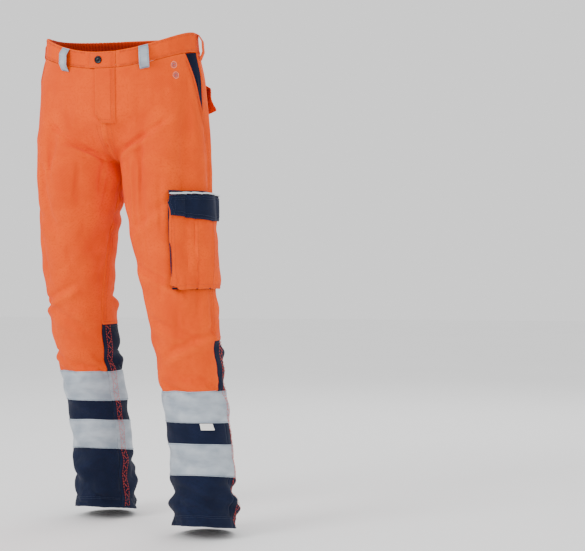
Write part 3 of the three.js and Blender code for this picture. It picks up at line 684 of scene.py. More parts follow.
orange = wovenTwill("fluorescentPolyesterCottonTwill", twillLooks["orange"])
# The orange twill darkened to red: painted shade for the inside of the waistband.
orangeInPaintedShade = wovenTwill("orangeTwillInPaintedShade", twillLooks["orangeInPaintedShade"])
navy = wovenTwill("navyPolyesterCottonTwill", twillLooks["navy"])
label = wovenTwill("wovenPolyesterLabel", twillLooks["label"])
elastic = wovenTwill("wovenElastic", twillLooks["elastic"])
silver = beadedTape("glassBeadTape", {"colour": "#aeb7c0", "shade": "#8f9aa6"})
metal = grained("blackenedBrass", grainedLooks["metal"])
teethPlastic = grained("mouldedAcetal", grainedLooks["zipTeeth"])
gripPlastic = grained("nylonHookAndLoop", grainedLooks["gripTape"])
piping = grained("wovenPipingCord", grainedLooks["piping"])
threads = {}
for name, colour in threadColours.items():
    spun = {**grainedLooks["thread"], "colour": colour, "shade": colour}
    threads[name] = grained(f"polyesterThread_{name}", spun)
# Which of the part's colour slots each material stands for.
slots = {
    "orange_twill": (orange, orangeInPaintedShade), "navy_twill": (navy,), "reflective": (silver, piping),
    "label": (label,), "elastic": (elastic,), "dark_metal": (metal,), "teeth": (teethPlastic,),
    "hook_loop": (gripPlastic,),
}
slotOf = {material.name: slot for slot, made in slots.items() for material in made}
print("materials made")


# How the panels and tapes are made, in metres. edgeT is how far in t an edge keeps clear of its seam.
panelMake = {
    "edgeT": 0.0019,
    "seamGap": 0.0004,
    "cloth": 0.0011,
    "seamDip": 0.0012,
    "inseamDip": 0.0010,
    "seamWide": 0.012,
    "mouthRoll": 0.0016,
    "flySlot": 0.009,
    "hem": 0.024,
    "hemThick": 0.0012,
    "tapeCloth": 0.0006,
    "tapeOut": 0.0009,
}
edgeT, seamGap, cloth = panelMake["edgeT"], panelMake["seamGap"], panelMake["cloth"]
slantT = 2 / np.pi * np.arcsin(slantReach / (waistHalf * 1.018) + 0.05)
flyEnd = band + flyLength


# A sheet on the cloth between two drops, which may differ from column to column.
def patch(name, node, material, side, ts, dropsOf, rows, out, thick=cloth, body="garment"):
    low, high = dropsOf(ts)
    k = np.linspace(0, 1, rows + 1)[None, :]
    drops = mix(np.broadcast_to(low, ts.shape)[:, None], np.broadcast_to(high, ts.shape)[:, None], k)
    t = np.broadcast_to(ts[:, None], drops.shape)
    off = out(t, drops)
    outer, inner = onCloth(side, t, drops, off), onCloth(side, t, drops, off - thick)
    return sheetPiece(name, node, material, outer, inner, body)


# The slant pocket's mouth, which is also the front panel's cut edge.
def slantAt(t):
    return mix(slantDrop, band, np.clip(t / slantT, 0, 1) ** 1.25)


def frontPanel(side):
    tapeMiddle = tapeTops(side)["upper"] + tapeWidth / 2
    ts = np.concatenate([np.linspace(edgeT, slantT, 16), np.linspace(slantT, 1, 58)[1:]])
    k = np.linspace(0, 1, 190)[None, :]
    top, deepest = slantAt(ts)[:, None] + seamGap, slantDrop + 0.03
    drops = mix(band + seamGap, tapeMiddle, k)
    share = (drops - band - seamGap) / (deepest - band - seamGap)
    drops = np.where(drops < deepest, mix(top, deepest, share), drops)
    t = np.broadcast_to(ts[:, None], drops.shape).copy()
    slot = panelMake["flySlot"] * (1 - smooth((drops[-1] - flyEnd + 0.006) / 0.012))
    half = waistHalf * track(torsoRows, 1, drops[-1] / rise)
    t[-1] = np.where(drops[-1] > rise, 1 - edgeT, 2 / np.pi * np.arccos(slot / half))
    t[-2] = np.minimum(t[-2], t[-1] - 0.004)
    inseam = panelMake["inseamDip"] * bump(t, 1, panelMake["seamWide"]) * (drops > rise * 0.7)
    mouth = panelMake["mouthRoll"] * bump(drops, slantAt(t) + 0.002, 0.006) * (t < slantT)
    out = -panelMake["seamDip"] * bump(t, 0, 0.01) - inseam + mouth
    outer, inner = onCloth(side, t, drops, out), onCloth(side, t, drops, out - cloth)
    sheetPiece(f"frontPanel_{side}", f"front_panel_{side}", orange, outer, inner)


def backPanel(side):
    calf = tapeTops(side)["upper"] - calfAboveTape
    ts = np.concatenate([np.linspace(-1, -0.01, 72), [-0.004, -0.0015, 0.004, 0.012]])
    def out(t, d):
        lapped = -0.0016 * smooth((t + 0.0015) / 0.004)
        ridge = 0.0004 * bump(t, 0, 0.02)
        seam = -panelMake["seamDip"] * bump(t, -1, panelMake["seamWide"])
        return lapped + ridge + seam + 0.0008 * bump(d, calf, 0.006)
    edges = lambda t: (band + seamGap, calf + 0.002)
    patch(f"backPanel_{side}", f"back_panel_{side}", orange, side, ts, edges, 180, out)


def lowerPanels(side):
    tapeMiddle = tapeTops(side)["upper"] + tapeWidth / 2
    calf = tapeTops(side)["upper"] - calfAboveTape
    front = np.linspace(edgeT, 1 - edgeT, 64)
    back = np.concatenate([[-1.012, -1.004], np.linspace(-1, -0.01, 62), [-0.003, 0.004, 0.012]])
    hem = lambda d: panelMake["hemThick"] * smooth((d - outseam + panelMake["hem"]) / 0.002)
    def frontOut(t, d):
        wide = panelMake["seamWide"]
        return hem(d) - panelMake["inseamDip"] * (bump(t, 0, wide) + bump(t, 1, wide))
    def backOut(t, d):
        return hem(d) - 0.0014 * (smooth((t + 0.001) / 0.004) + smooth((-t - 1.001) / 0.004))
    shin = lambda t: (tapeMiddle, outseam)
    patch(f"shinPanel_{side}", f"shin_panel_{side}", navy, side, front, shin, 110, frontOut)
    patch(f"calfPanel_{side}", f"calf_panel_{side}", navy, side, back, lambda t: (calf, outseam), 150, backOut)


def tapePieces(side):
    for name, top in tapeTops(side).items():
        edges = lambda t: (top, top + tapeWidth)
        curl = lambda t, d: 0.0003 * np.sin(90 * t + 2) * bump(d, top + tapeWidth, 0.004)
        out = lambda t, d: panelMake["tapeOut"] + curl(t, d)
        patch(f"{name}Tape_{side}", f"{name}_tape_{side}", silver, side, np.linspace(-1, 1, 150), edges, 24,
              out, panelMake["tapeCloth"])


for side in sides:
    frontPanel(side)
    backPanel(side)
    lowerPanels(side)
    tapePieces(side)
print("panels cut")


# A strip of cloth. spots are (side, t) across it, and path is its (drop, out) from end to end.
def pathPiece(name, node, material, spots, path, thick):
    path = np.asarray(path, float)
    way = np.gradient(path, axis=0)
    way = way / np.linalg.norm(way, axis=1, keepdims=True)
    under = path - np.stack([-way[:, 1], way[:, 0]], 1) * thick
    grid = lambda line: np.array([onCloth(side, t, line[:, 0], line[:, 1]) for side, t in spots])
    return sheetPiece(name, node, material, grid(path), grid(under))


# A sheet round the back on both sides, with ts running from the sides to the centre.
def backPiece(name, node, material, ts, low, high, rows, out, thick):
    t = np.broadcast_to(ts[:, None], (len(ts), rows + 1))
    drops = np.broadcast_to(np.linspace(low, high, rows + 1)[None, :], t.shape)
    grids = []
    for less in (0, thick):
        half = {side: onCloth(side, t, drops, out(side, t, drops) - less) for side in sides}
        grids.append(np.concatenate([half["right"], half["left"][::-1][1:]]))
    return sheetPiece(name, node, material, *grids)


def bandT(x):
    return 2 / np.pi * np.arccos(x / waistHalf)


# (side, t) pairs across the centre back.
def centreBack(halfWidth, count):
    us = np.linspace(-halfWidth, halfWidth, count)
    return [("left" if u > 0 else "right", -1 + abs(u)) for u in us]


bandMake = {
    "cloth": 0.0024,
    "edgeDip": 0.0009,
    "ends": {"left": 0.030, "right": 0.0009},
    "gather": 0.0019,
    "gatherPitch": 0.0075,
    "gatherFrom": -0.86,
    "gatherTo": -0.22,
    "liner": 0.0011,
    "elasticOut": -0.0042,
    "facingOut": -0.0061,
    "label": (0.050, 0.055),
    "labelCloth": 0.0004,
}


# Rolled edges on the band, and the elastic's gathers round the back.
def bandOut(side, t, d):
    edge = -bandMake["edgeDip"] * bump(d, 0, 0.0022) - 0.0007 * bump(d, band, 0.0022)
    inside = smooth((t - bandMake["gatherFrom"]) / 0.06) * smooth((bandMake["gatherTo"] - t) / 0.06)
    phase = t * 0.2375 / bandMake["gatherPitch"] * 2 * np.pi
    turned = 1.3 * np.sin(phase * 0.23) + (1 if side == "left" else 0) + 6 * d / band * np.sin(phase * 0.11)
    return edge + inside * bandMake["gather"] * (0.6 * np.sin(phase + turned) - 0.4)


# The band's edge roll alone, where there is no elastic.
def plainBandOut(d):
    return bandOut("left", np.full(d.shape, 0.5), d)


def waistband():
    low = band - seamGap
    for side, end in bandMake["ends"].items():
        out = lambda t, d: plainBandOut(d) + 0.0004 * np.sin(70 * t + 3)
        patch(f"waistbandFront_{side}", f"waistband_front_{side}", orange, side,
              np.linspace(edgeT, bandT(end), 60), lambda t: (0.0, low), 12, out, bandMake["cloth"])
    backPiece("waistbandBack", "waistband_back", orange, np.linspace(-0.002, -1, 300), 0.0, low, 12,
              bandOut, bandMake["cloth"])
    ripple = lambda side, t, d: bandMake["elasticOut"] + 0.0005 * np.sin(t * 210)
    backPiece("waistElastic", "waist_elastic", elastic, np.linspace(-0.3, -1, 130), 0.003, 0.0386, 6,
              ripple, bandMake["liner"])
    # The back facing takes the orange twill darkened to red: painted shade inside the band.
    inner = lambda side, t, d: bandMake["facingOut"] + 0.0008 * np.sin(t * 205) * smooth((-0.2 - t) / 0.1)
    backPiece("waistbandFacing", "waistband_facing_back", orangeInPaintedShade, np.linspace(-0.004, -1, 200),
              0.001, 0.0405, 6, inner, bandMake["liner"])
    hanging = [(0.014 + 0.0025 * k, -0.0089 + 0.0006 * math.sin(k)) for k in range(21)]
    tag = pathPiece("careLabel", "care_label", label, centreBack(0.1, 9), hanging, bandMake["labelCloth"])
    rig.sheet(tag, bandMake["label"], "hung", rests_on=["waistbandFacing"])


loopMake = {
    "halfWide": 0.021,
    "length": 0.056,
    "bow": 0.0098,
    "foot": 0.0019,
    "cloth": 0.0012,
    "frontT": 0.66,
    "sideT": -0.05,
}


# How far a belt loop stands off the band, k of the way down it.
def loopBow(k):
    return loopMake["bow"] * np.clip(1.25 * np.sin(np.pi * k), 0, 1)


def loops():
    reach = loopMake["halfWide"] / (math.pi * waistHalf * 1.018)
    k = np.linspace(0, 1, 34)
    bow = loopMake["foot"] + loopBow(k)
    ends = 0.0009 * (bump(k, 0, 0.02) + bump(k, 1, 0.02))
    path = np.stack([mix(0.001, loopMake["length"], k), bow - ends], 1)
    for side in sides:
        for place, look in (("front", silver), ("side", orange)):
            spots = [(side, loopMake[f"{place}T"] + u) for u in np.linspace(-reach, reach, 9)]
            pathPiece(f"beltLoop_{place}_{side}", f"belt_loop_{place}_{side}", look, spots, path,
                      loopMake["cloth"])
    pathPiece("beltLoop_back", "belt_loop_back", silver, centreBack(reach, 9), path, loopMake["cloth"])


flyMake = {
    "doorOut": 0.0046,
    "doorFrom": -0.014,
    "doorTo": 0.028,
    "tabFrom": -0.027,
    "tabTo": 0.0296,
    "doorCloth": 0.0011,
    "tabCloth": 0.0012,
    "shieldFrom": -0.022,
    "shieldTo": 0.026,
    "shieldOut": -0.0083,
}
doorOut = flyMake["doorOut"]


# A sheet across the centre front, by x.
def frontSheet(name, node, material, xs, lowAt, highAt, rows, out, thick, body="garment"):
    k = np.linspace(0, 1, rows + 1)[None, :]
    drops = mix(lowAt(xs)[:, None], highAt(xs)[:, None], k)
    x = np.broadcast_to(xs[:, None], drops.shape)
    off = out(x, drops)
    return sheetPiece(name, node, material, onFront(x, drops, off), onFront(x, drops, off - thick), body)


def placketFoot(x):
    return flyEnd + 0.006 - 0.022 * smooth(-x / 0.014)


def fly():
    flatAt = lambda value: (lambda x: np.full(x.shape, value))
    settle = lambda x, low: mix(low, doorOut, smooth((0.0285 - x) / 0.012))
    curl = lambda x, d: settle(x, 0.0016) + 0.0003 * np.sin(170 * d + 60 * x) * smooth((d - 0.05) / 0.02)
    frontSheet("flyPlacket", "fly_placket", orange, np.linspace(flyMake["doorFrom"], flyMake["doorTo"], 24),
               flatAt(band + seamGap), placketFoot, 60, curl, flyMake["doorCloth"], "fly_door")
    tabOut = lambda x, d: settle(x, 0.0006) + plainBandOut(d) - 0.0010 * bump(x, flyMake["tabFrom"], 0.003)
    frontSheet("waistbandTab", "waistband_tab", orange, np.linspace(flyMake["tabFrom"], flyMake["tabTo"], 30),
               flatAt(0.001), flatAt(band - seamGap), 14, tabOut, flyMake["tabCloth"], "fly_door")
    behind = lambda x, d: np.full(d.shape, flyMake["shieldOut"])
    frontSheet("flyShield", "fly_shield", navy, np.linspace(flyMake["shieldFrom"], flyMake["shieldTo"], 16),
               flatAt(0.004), flatAt(flyEnd), 30, behind, 0.0012)


slantMake = {
    "facingTo": 0.4,
    "facingBelow": 0.018,
    "bagTo": 0.552,
    "bagDrop": 0.330,
    "depth": 0.0115,
    "bagCloth": 0.0008,
}


def frontPockets():
    bagTo, bagDrop = slantMake["bagTo"], slantMake["bagDrop"]
    def dish(t, v):
        sideways = smooth(t / 0.22) * smooth((bagTo - t) / 0.1)
        return -0.0019 - slantMake["depth"] * sideways * smooth((bagDrop - v) / 0.06)
    deeper = lambda t, v: dish(t, v) - 0.0017
    for side in sides:
        facing = lambda t: (band + seamGap, slantDrop + slantMake["facingBelow"])
        patch(f"pocketFacing_{side}", f"front_pocket_facing_{side}", navy, side,
              np.linspace(edgeT, slantMake["facingTo"], 40), facing, 60, dish)
        patch(f"pocketBag_{side}", f"front_pocket_bag_{side}", navy, side, np.linspace(edgeT, bagTo, 40),
              lambda t: (band + 0.004, bagDrop), 60, deeper, slantMake["bagCloth"])


# A lower edge that dips to a point in its middle.
def pointed(ts, low, high, side, point):
    middle = (low + high) / 2
    return side + point * (1 - np.abs(ts - middle) / (high - middle))


# A flap's cloth bends between its seam and a line below it, when the flap is lifted.
flapMake = {"bend": (0.001, 0.030), "stayCloth": 0.0013, "tapeTall": 0.020}


def bendFlap(body, side, t, top):
    softHinges[body] = [tuple(onCloth(side, t, top + down)) for down in flapMake["bend"]]


# The hook tape under a flap and the loop tape it closes on.
def gripTapes(names, nodes, bodies, side, ts, top, outs, thick):
    for name, node, body, level in zip(names, nodes, bodies, outs):
        fuzz = lambda t, d: level + 0.0002 * np.sin(900 * t) * np.sin(2600 * d)
        edges = lambda t: (top, top + flapMake["tapeTall"])
        patch(name, node, gripPlastic, side, ts, edges, 20, fuzz, thick, body)


# The narrow strip that a flap hangs from, rising off the cloth as it goes down.
def stay(name, node, material, side, ts, top, tall, start, lift):
    path = [(top + tall * smooth(k), start + lift * smooth(k * 1.05)) for k in np.linspace(0, 1, 14)]
    pathPiece(name, node, material, [(side, t) for t in ts], path, flapMake["stayCloth"])


backMake = {
    "from": -0.8,
    "to": -0.3,
    "flapTop": 0.108,
    "flapSide": 0.046,
    "flapPoint": 0.016,
    "flapOut": 0.0150,
    "flapKick": {"left": 0.011, "right": 0.007},
    "flapCloth": 0.0013,
    "flapFlat": (0.150, 0.062),
    "flapMeanDrop": 0.055,
    "pocketDrop": 0.262,
    "pocketPoint": 0.020,
    "face": 0.0090,
    "fullness": 0.0066,
    "gripT": (-0.6, -0.5),
}
backFrom, backTo, backFlapTop = backMake["from"], backMake["to"], backMake["flapTop"]


def backPocketLow(t):
    return pointed(t, backFrom, backTo, backMake["pocketDrop"], backMake["pocketPoint"])


def backFlapLow(t):
    return pointed(t, backFrom, backTo, backFlapTop + backMake["flapSide"], backMake["flapPoint"])


def backPocketOut(t, v):
    middle = 1 - np.abs(t - (backFrom + backTo) / 2) / ((backTo - backFrom) / 2)
    low = backPocketLow(t)
    full = smooth(middle * 2.5) * smooth((low - v) / 0.05)
    edge = 0.0006 * (bump(middle, 0.06, 0.05) + bump(low - v, 0.004, 0.004))
    return 0.0018 + backMake["fullness"] * full + edge + 0.0007 * np.sin(70 * v + 25 * t) * full


def backFlapOut(side, t, d):
    outer = smooth((t - backTo + 0.16) / 0.16) * smooth((d - 0.125) / 0.035)
    inner = 0.0012 * bump(t, backFrom, 0.04) * smooth((d - 0.12) / 0.03)
    return backMake["flapOut"] + backMake["flapKick"][side] * outer - inner


def backPockets():
    ts = np.linspace(backFrom, backTo, 60)
    for side in sides:
        lid = f"back_lid_{side}"
        bendFlap(lid, side, (backFrom + backTo) / 2, backFlapTop)
        patch(f"backPocket_{side}", f"back_pocket_{side}", orange, side, ts,
              lambda t: (backFlapTop + 0.008, backPocketLow(t)), 60, backPocketOut)
        out = lambda t, d: backFlapOut(side, t, d) + 0.0004 * bump(backFlapLow(t) - d, 0.003, 0.003)
        flap = patch(f"backFlap_{side}", f"back_flap_{side}", orange, side, ts,
                     lambda t: (backFlapTop, backFlapLow(t)), 26, out, backMake["flapCloth"], lid)
        area = backMake["flapFlat"][0] * backMake["flapMeanDrop"]
        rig.sheet(flap, backMake["flapFlat"], "hung", rests_on=[f"backFlapStay_{side}"], area=area)
        stay(f"backFlapStay_{side}", f"back_flap_stay_{side}", orange, side, ts, 0.0998, 0.0078, 0.0014, 0.0128)
        face = backMake["face"]
        gripTapes([f"back_{kind}Tape_{side}" for kind in ("hook", "loop")],
                  [f"back_{kind}_tape_{side}" for kind in ("hook", "loop")], [lid, "garment"], side,
                  np.linspace(*backMake["gripT"], 24), backFlapTop + 0.024,
                  (face + 0.0041, face + 0.0023), 0.0008)


cargoMake = {
    "from": -0.3,
    "to": 0.36,
    "out": 0.0107,
    "pleats": (0.02, 0.14),
    "pleatRidge": 0.0012,
    "flapSide": 0.041,
    "flapPoint": 0.014,
    "flapOut": 0.0143,
    "flapCloth": 0.0014,
    "flapFlat": (0.250, 0.055),
    "flapMeanDrop": 0.048,
    "gussetFold": 0.0024,
    "gussetCloth": 0.0010,
    "pipingRadius": 0.0017,
    "gripT": (-0.1, 0.1),
}
cargoFrom, cargoTo, pleats = cargoMake["from"], cargoMake["to"], cargoMake["pleats"]


def cargoFaceOut(t, d):
    corner = bump(t, cargoFrom, 0.03) + bump(t, cargoTo, 0.03)
    ridge = cargoMake["pleatRidge"] * sum(bump(t, p, 0.012) - 0.8 * bump(t, p + 0.022, 0.010) for p in pleats)
    sag = 0.0016 * np.sin(31 * d + 7 * t) + 0.0012 * np.sin(58 * d - 11 * t)
    shown = smooth((d - cargoTop - 0.055) / 0.02)
    edges = 0.0016 * corner + 0.0016 * bump(d, cargoDrop, 0.010)
    return cargoMake["out"] - edges + shown * (ridge + sag * smooth((cargoDrop - d) / 0.03))


def cargoFlapOut(t, d):
    lift = 0.0016 * bump(t, cargoTo, 0.06) * smooth((d - cargoTop - 0.015) / 0.02)
    return cargoMake["flapOut"] + lift + 0.0006 * np.sin(17 * t + 40 * d) - 0.0012 * bump(d, cargoTop, 0.003)


def cargoFlapLow(t):
    return pointed(t, cargoFrom, cargoTo, cargoTop + cargoMake["flapSide"], cargoMake["flapPoint"])


# The gusset runs down one side of the pocket, along its foot and up the other, folded once in its width.
def gusset():
    n = 60
    wall = 1 / (math.pi * waistHalf * 0.515)
    up, foot = np.linspace(cargoTop + 0.010, cargoDrop, n), np.linspace(cargoFrom, cargoTo, n)
    t = np.concatenate([np.full(n, cargoFrom), foot[1:-1], np.full(n, cargoTo)])
    v = np.concatenate([up, np.full(n - 2, cargoDrop), up[::-1]])
    inT = np.concatenate([np.full(n, 1.0), np.linspace(1, -1, n)[1:-1], np.full(n, -1.0)])
    inV = np.concatenate([0 * up, np.full(n - 2, 1.0), 0 * up])
    k = np.linspace(0, 1, 9)[None, :]
    def grid(more):
        inset = cargoMake["gussetFold"] * np.sin(np.pi * k) + more
        out = mix(0.0003, 0.0088, k) + 0 * inset
        return onCloth("left", t[:, None] + inT[:, None] * inset * wall, v[:, None] - inV[:, None] * inset, out)
    sheetPiece("cargoGusset", "cargo_gusset", navy, grid(0.0), grid(cargoMake["gussetCloth"]))


# The piping along the cargo flap: a covered cord with a slight twist in its cover.
def cord(ts, drop, out, radius):
    turn = np.linspace(0, 2 * np.pi, 13)[:-1]
    rings = []
    for n, t in enumerate(ts):
        r = radius * (0.35 if n in (0, len(ts) - 1) else 1 + 0.04 * math.sin(n * 1.7))
        rings.append(onCloth("left", np.full(12, t), drop + r * np.cos(turn), out + r * np.sin(turn)))
    lofted("cargoPiping", "cargo_piping", piping, rings)


def cargo():
    ts = np.linspace(cargoFrom, cargoTo, 90)
    bendFlap("cargo_lid", "left", (cargoFrom + cargoTo) / 2, cargoTop)
    patch("cargoPocket", "cargo_pocket", orange, "left", ts, lambda t: (cargoTop + 0.010, cargoDrop), 70,
          cargoFaceOut)
    gusset()
    flap = patch("cargoFlap", "cargo_flap", navy, "left", ts, lambda t: (cargoTop, cargoFlapLow(t)), 26,
                 cargoFlapOut, cargoMake["flapCloth"], "cargo_lid")
    flat = cargoMake["flapFlat"]
    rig.sheet(flap, flat, "hung", rests_on=["cargoFlapStay"], area=flat[0] * cargoMake["flapMeanDrop"])
    stay("cargoFlapStay", "cargo_flap_stay", navy, "left", ts, cargoTop - 0.0092, 0.0080, 0.0014, 0.0118)
    cord(ts, cargoTop - 0.0034, 0.0146, cargoMake["pipingRadius"])
    gripTapes(["cargo_hookTape", "cargo_loopTape"], ["cargo_hook_tape", "cargo_loop_tape"],
              ["cargo_lid", "garment"], "left", np.linspace(*cargoMake["gripT"], 40), cargoTop + 0.017,
              (0.0128, 0.0117), 0.0007)


# A closed solid through rings of points.
def lofted(name, node, material, rings, body="garment"):
    rings = np.array(rings)
    count, n = rings.shape[:2]
    i = np.arange(count * n).reshape(count, n)
    nxt = np.roll(i, -1, axis=1)
    faces = np.stack([i[:-1], nxt[:-1], nxt[1:], i[1:]], -1).reshape(-1, 4).tolist()
    faces += [i[0].tolist()[::-1], i[-1].tolist()]
    points = rings.reshape(-1, 3)
    return finishPiece(name, node, material, points, outward(points, faces), body)


# The same faces, turned so that the solid's volume counts as positive.
def outward(points, faces):
    volume = 0
    for face in faces:
        a = points[face[0]]
        for b, c in zip(face[1:-1], face[2:]):
            volume += np.dot(a, np.cross(points[b], points[c]))
    return [face[::-1] for face in faces] if volume < 0 else faces


tagMake = {"from": 0.17, "to": 0.3, "tall": 0.014, "flat": (0.028, 0.014), "cloth": 0.0004, "curl": 0.0012}


def tapeTag():
    top = tapeTops("left")["upper"] + tapeWidth + 0.001
    curl = lambda t, d: tagMake["curl"] * smooth((d - top - 0.004) / 0.010) * (1 + 0.5 * np.sin(40 * t))
    tag = patch("tapeTag", "tape_tag", label, "left", np.linspace(tagMake["from"], tagMake["to"], 26),
                lambda t: (top, top + tagMake["tall"]), 12, lambda t, d: 0.0011 + curl(t, d), tagMake["cloth"])
    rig.sheet(tag, tagMake["flat"], "hung", rests_on=["upperTape_left"])


waistband()
loops()
fly()
frontPockets()
backPockets()
cargo()
tapeTag()
print("pockets, flaps, loops and labels cut")


zipMake = {
    "pitch": 0.0024,
    "toothHalf": 0.00090,
    "tapeHalf": 0.007,
    "tapeCloth": 0.0006,
    "stop": (0.0026, 0.0011),
    "sliderHalf": 0.0042,
    "sliderGap": 0.0016,
    "sliderWeb": 0.00035,
    "sliderPlate": 0.0008,
    "pullHalf": (0.0024, 0.0079),
    "pullNeck": 0.25,
}
zipDown = np.array([0, 0.04215, -0.99911])
zipFront = np.array([0, -0.99911, -0.04215])
zipSide = np.array([1.0, 0, 0])


def boxMiddle(node):
    low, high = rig.box(node)
    return (np.array(low) + np.array(high)) / 2


def zipLength(node):
    low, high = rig.box(node)
    return (high[2] - low[2]) / 0.99911


# Points round a middle, by the zip's own directions.
def inZip(middle, x, forward, along):
    steps = ((x, zipSide), (forward, zipFront), (along, zipDown))
    return middle + sum(np.multiply.outer(np.asarray(far), way) for far, way in steps)


# A small tapered block through four low and four high corners.
def block(low, high):
    faces = [[0, 1, 2, 3], [7, 6, 5, 4], [0, 4, 5, 1], [1, 5, 6, 2], [2, 6, 7, 3], [3, 7, 4, 0]]
    corners = np.concatenate([low, high])
    return corners, outward(corners, faces)


def zipTeeth(side):
    middle = boxMiddle(f"zip_teeth_{side}")
    length = zipLength(f"zip_teeth_{side}") - 0.001
    count = int(length / zipMake["pitch"])
    x, ends = np.array([-1, 1, 1, -1]) * zipMake["toothHalf"], np.array([-1, -1, 1, 1])
    points, faces = [], []
    for n in range(count):
        along = mix(-length / 2, length / 2, (n + 0.5) / count)
        thin, tall = (0.00062, 0.0009) if n % 2 else (0.00052, 0.0010)
        low = inZip(middle, x, np.full(4, -tall), along + ends * thin * 1.25)
        high = inZip(middle, x * 0.8, np.full(4, tall), along + ends * thin * 0.9)
        corners, sides6 = block(low, high)
        points.append(corners)
        faces += [[i + 8 * n for i in face] for face in sides6]
    finishPiece(f"zipTeeth_{side}", f"zip_teeth_{side}", teethPlastic, np.concatenate(points), faces, flat=True)


def zipTape(side):
    middle = boxMiddle(f"zip_tape_{side}")
    length = zipLength(f"zip_tape_{side}") - 0.001
    x = np.linspace(-zipMake["tapeHalf"], zipMake["tapeHalf"], 12)[:, None]
    k = np.linspace(-0.5, 0.5, 70)[None, :] * length
    ripple = 0.00025 * np.sin(k * 400) * smooth((sign[side] * x + 0.002) / 0.008)
    outer = middle + x[..., None] * zipSide + (0.0003 + ripple)[..., None] * zipFront + k[..., None] * zipDown
    sheetPiece(f"zipTape_{side}", f"zip_tape_{side}", navy, outer, outer - zipMake["tapeCloth"] * zipFront)


def zipStop():
    middle = boxMiddle("zip_bottom_stop")
    halfWide, halfDeep = zipMake["stop"]
    ring = [(-1, -0.6), (-0.8, -1), (0.8, -1), (1, -0.6), (1, 0.6), (0.8, 1), (-0.8, 1), (-1, 0.6)]
    rings = []
    for along, w in ((-0.0019, 0.7), (-0.0015, 1), (0, 0.92), (0.0015, 1), (0.0019, 0.7)):
        x, forward = [a * halfWide * w for a, _ in ring], [b * halfDeep * w for _, b in ring]
        rings.append(inZip(middle, x, forward, along))
    lofted("zipBottomStop", "zip_bottom_stop", metal, rings)


# The slider's two plates, joined by a web between the rows of teeth.
def zipSlider():
    middle = boxMiddle("zip_slider")
    wide, gap, web = zipMake["sliderHalf"], zipMake["sliderGap"], zipMake["sliderWeb"]
    outer = gap + zipMake["sliderPlate"]
    profile = [(-wide, outer), (-wide, gap), (-web, gap), (-web, -gap), (-wide, -gap), (-wide * 0.9, -outer),
               (wide * 0.9, -outer), (wide, -gap), (web, -gap), (web, gap), (wide, gap), (wide, outer)]
    rings = []
    taper = ((-0.0054, 0.55), (-0.0050, 0.8), (-0.0030, 1.0), (0.0010, 0.92), (0.0046, 0.72), (0.0054, 0.55))
    for along, w in taper:
        x = [a * (w if abs(a) > web else 1) for a, _ in profile]
        rings.append(inZip(middle, x, [-b for _, b in profile], along))
    lofted("zipSlider", "zip_slider", metal, rings, "zip_runner")


# The pull is a rounded plate with a hole near its top.
def zipPull():
    middle, n = boxMiddle("zip_pull"), 32
    halfWide, halfTall = zipMake["pullHalf"]
    turn = np.linspace(0, 2 * np.pi, n + 1)[:-1]
    along = halfTall * np.sign(np.cos(turn)) * np.abs(np.cos(turn)) ** 0.6
    x = halfWide * np.sign(np.sin(turn)) * np.abs(np.sin(turn)) ** 0.6
    x = x * (1 - zipMake["pullNeck"] * bump(along, -0.002, 0.004))
    hole = 0.0012 * np.sin(turn), -0.0052 + 0.0016 * np.cos(turn)
    face, rim = 0.00042, 0.00025
    levels = [
        (x * 0.93, face, along * 0.98), (x, rim, along), (x, -rim, along),
        (x * 0.93, -face, along * 0.98), (hole[0], -face, hole[1]), (hole[0], face, hole[1]),
    ]
    points = np.concatenate([inZip(middle, a, np.full(n, b), c) for a, b, c in levels])
    i = np.arange(6 * n).reshape(6, n)
    rows = np.concatenate([i, i[:1]])
    nxt = np.roll(rows, -1, axis=1)
    faces = np.stack([rows[:-1], nxt[:-1], nxt[1:], rows[1:]], -1).reshape(-1, 4).tolist()
    finishPiece("zipPull", "zip_pull", metal, points, outward(points, faces), "zip_tab")


# Turned parts of the snap: (radius, height) from the foot, and how far off the front the foot is.
snapMake = {
    "x": -0.006,
    "drop": 0.021,
    "cap": (0.0048, [(0.0002, -0.0001), (0.0074, -0.0001), (0.0080, 0.0004), (0.0079, 0.0009), (0.0072, 0.0014),
                     (0.0062, 0.0015), (0.0056, 0.0011), (0.0030, 0.0012), (0.0018, 0.0015), (0.0002, 0.0016)]),
    "socket": (0.0015, [(0.0034, 0), (0.0058, 0), (0.0060, 0.0005), (0.0052, 0.0014), (0.0040, 0.0016),
                        (0.0034, 0.0012), (0.0034, 0)]),
    "stud": (0.0003, [(0.0002, 0), (0.0027, 0), (0.0024, 0.0004), (0.0020, 0.0010), (0.0025, 0.0015),
                      (0.0022, 0.0020), (0.0002, 0.0020)]),
}


def snap(kind, body):
    at = lambda out: plainFront(snapMake["x"], snapMake["drop"], out)
    foot, profile = snapMake[kind]
    axis = at(0.001) - at(0.0)
    a = axis / np.linalg.norm(axis)
    u = np.cross(a, [0, 0, 1.0])
    u = u / np.linalg.norm(u)
    w = np.cross(a, u)
    turn = np.linspace(0, 2 * np.pi, 49)[:-1]
    circle = np.cos(turn)[:, None] * u + np.sin(turn)[:, None] * w
    rings = [at(foot) + h * a + r * circle for r, h in profile]
    lofted(f"snap{kind.title()}", f"snap_{kind}", metal, rings, body)


# A point on the unsettled front, where the frame's own parts are.
def plainFront(x, drop, out):
    half = waistHalf * track(torsoRows, 1, drop / rise)
    side = "left" if x > 0 else "right"
    t = 2 / np.pi * np.arccos(abs(x) / half)
    at = lambda a, d: plainSurface(side, a, d)
    across, down = at(t + 0.004, drop) - at(t - 0.004, drop), at(t, drop + 0.001) - at(t, drop - 0.001)
    n = np.cross(across, down) * sign[side]
    return at(t, drop) + n / np.linalg.norm(n) * out


for side in sides:
    zipTeeth(side)
    zipTape(side)
zipStop()
zipSlider()
zipPull()
for kind, body in (("cap", "fly_door"), ("socket", "fly_door"), ("stud", "garment")):
    snap(kind, body)
print("zip and snap made")


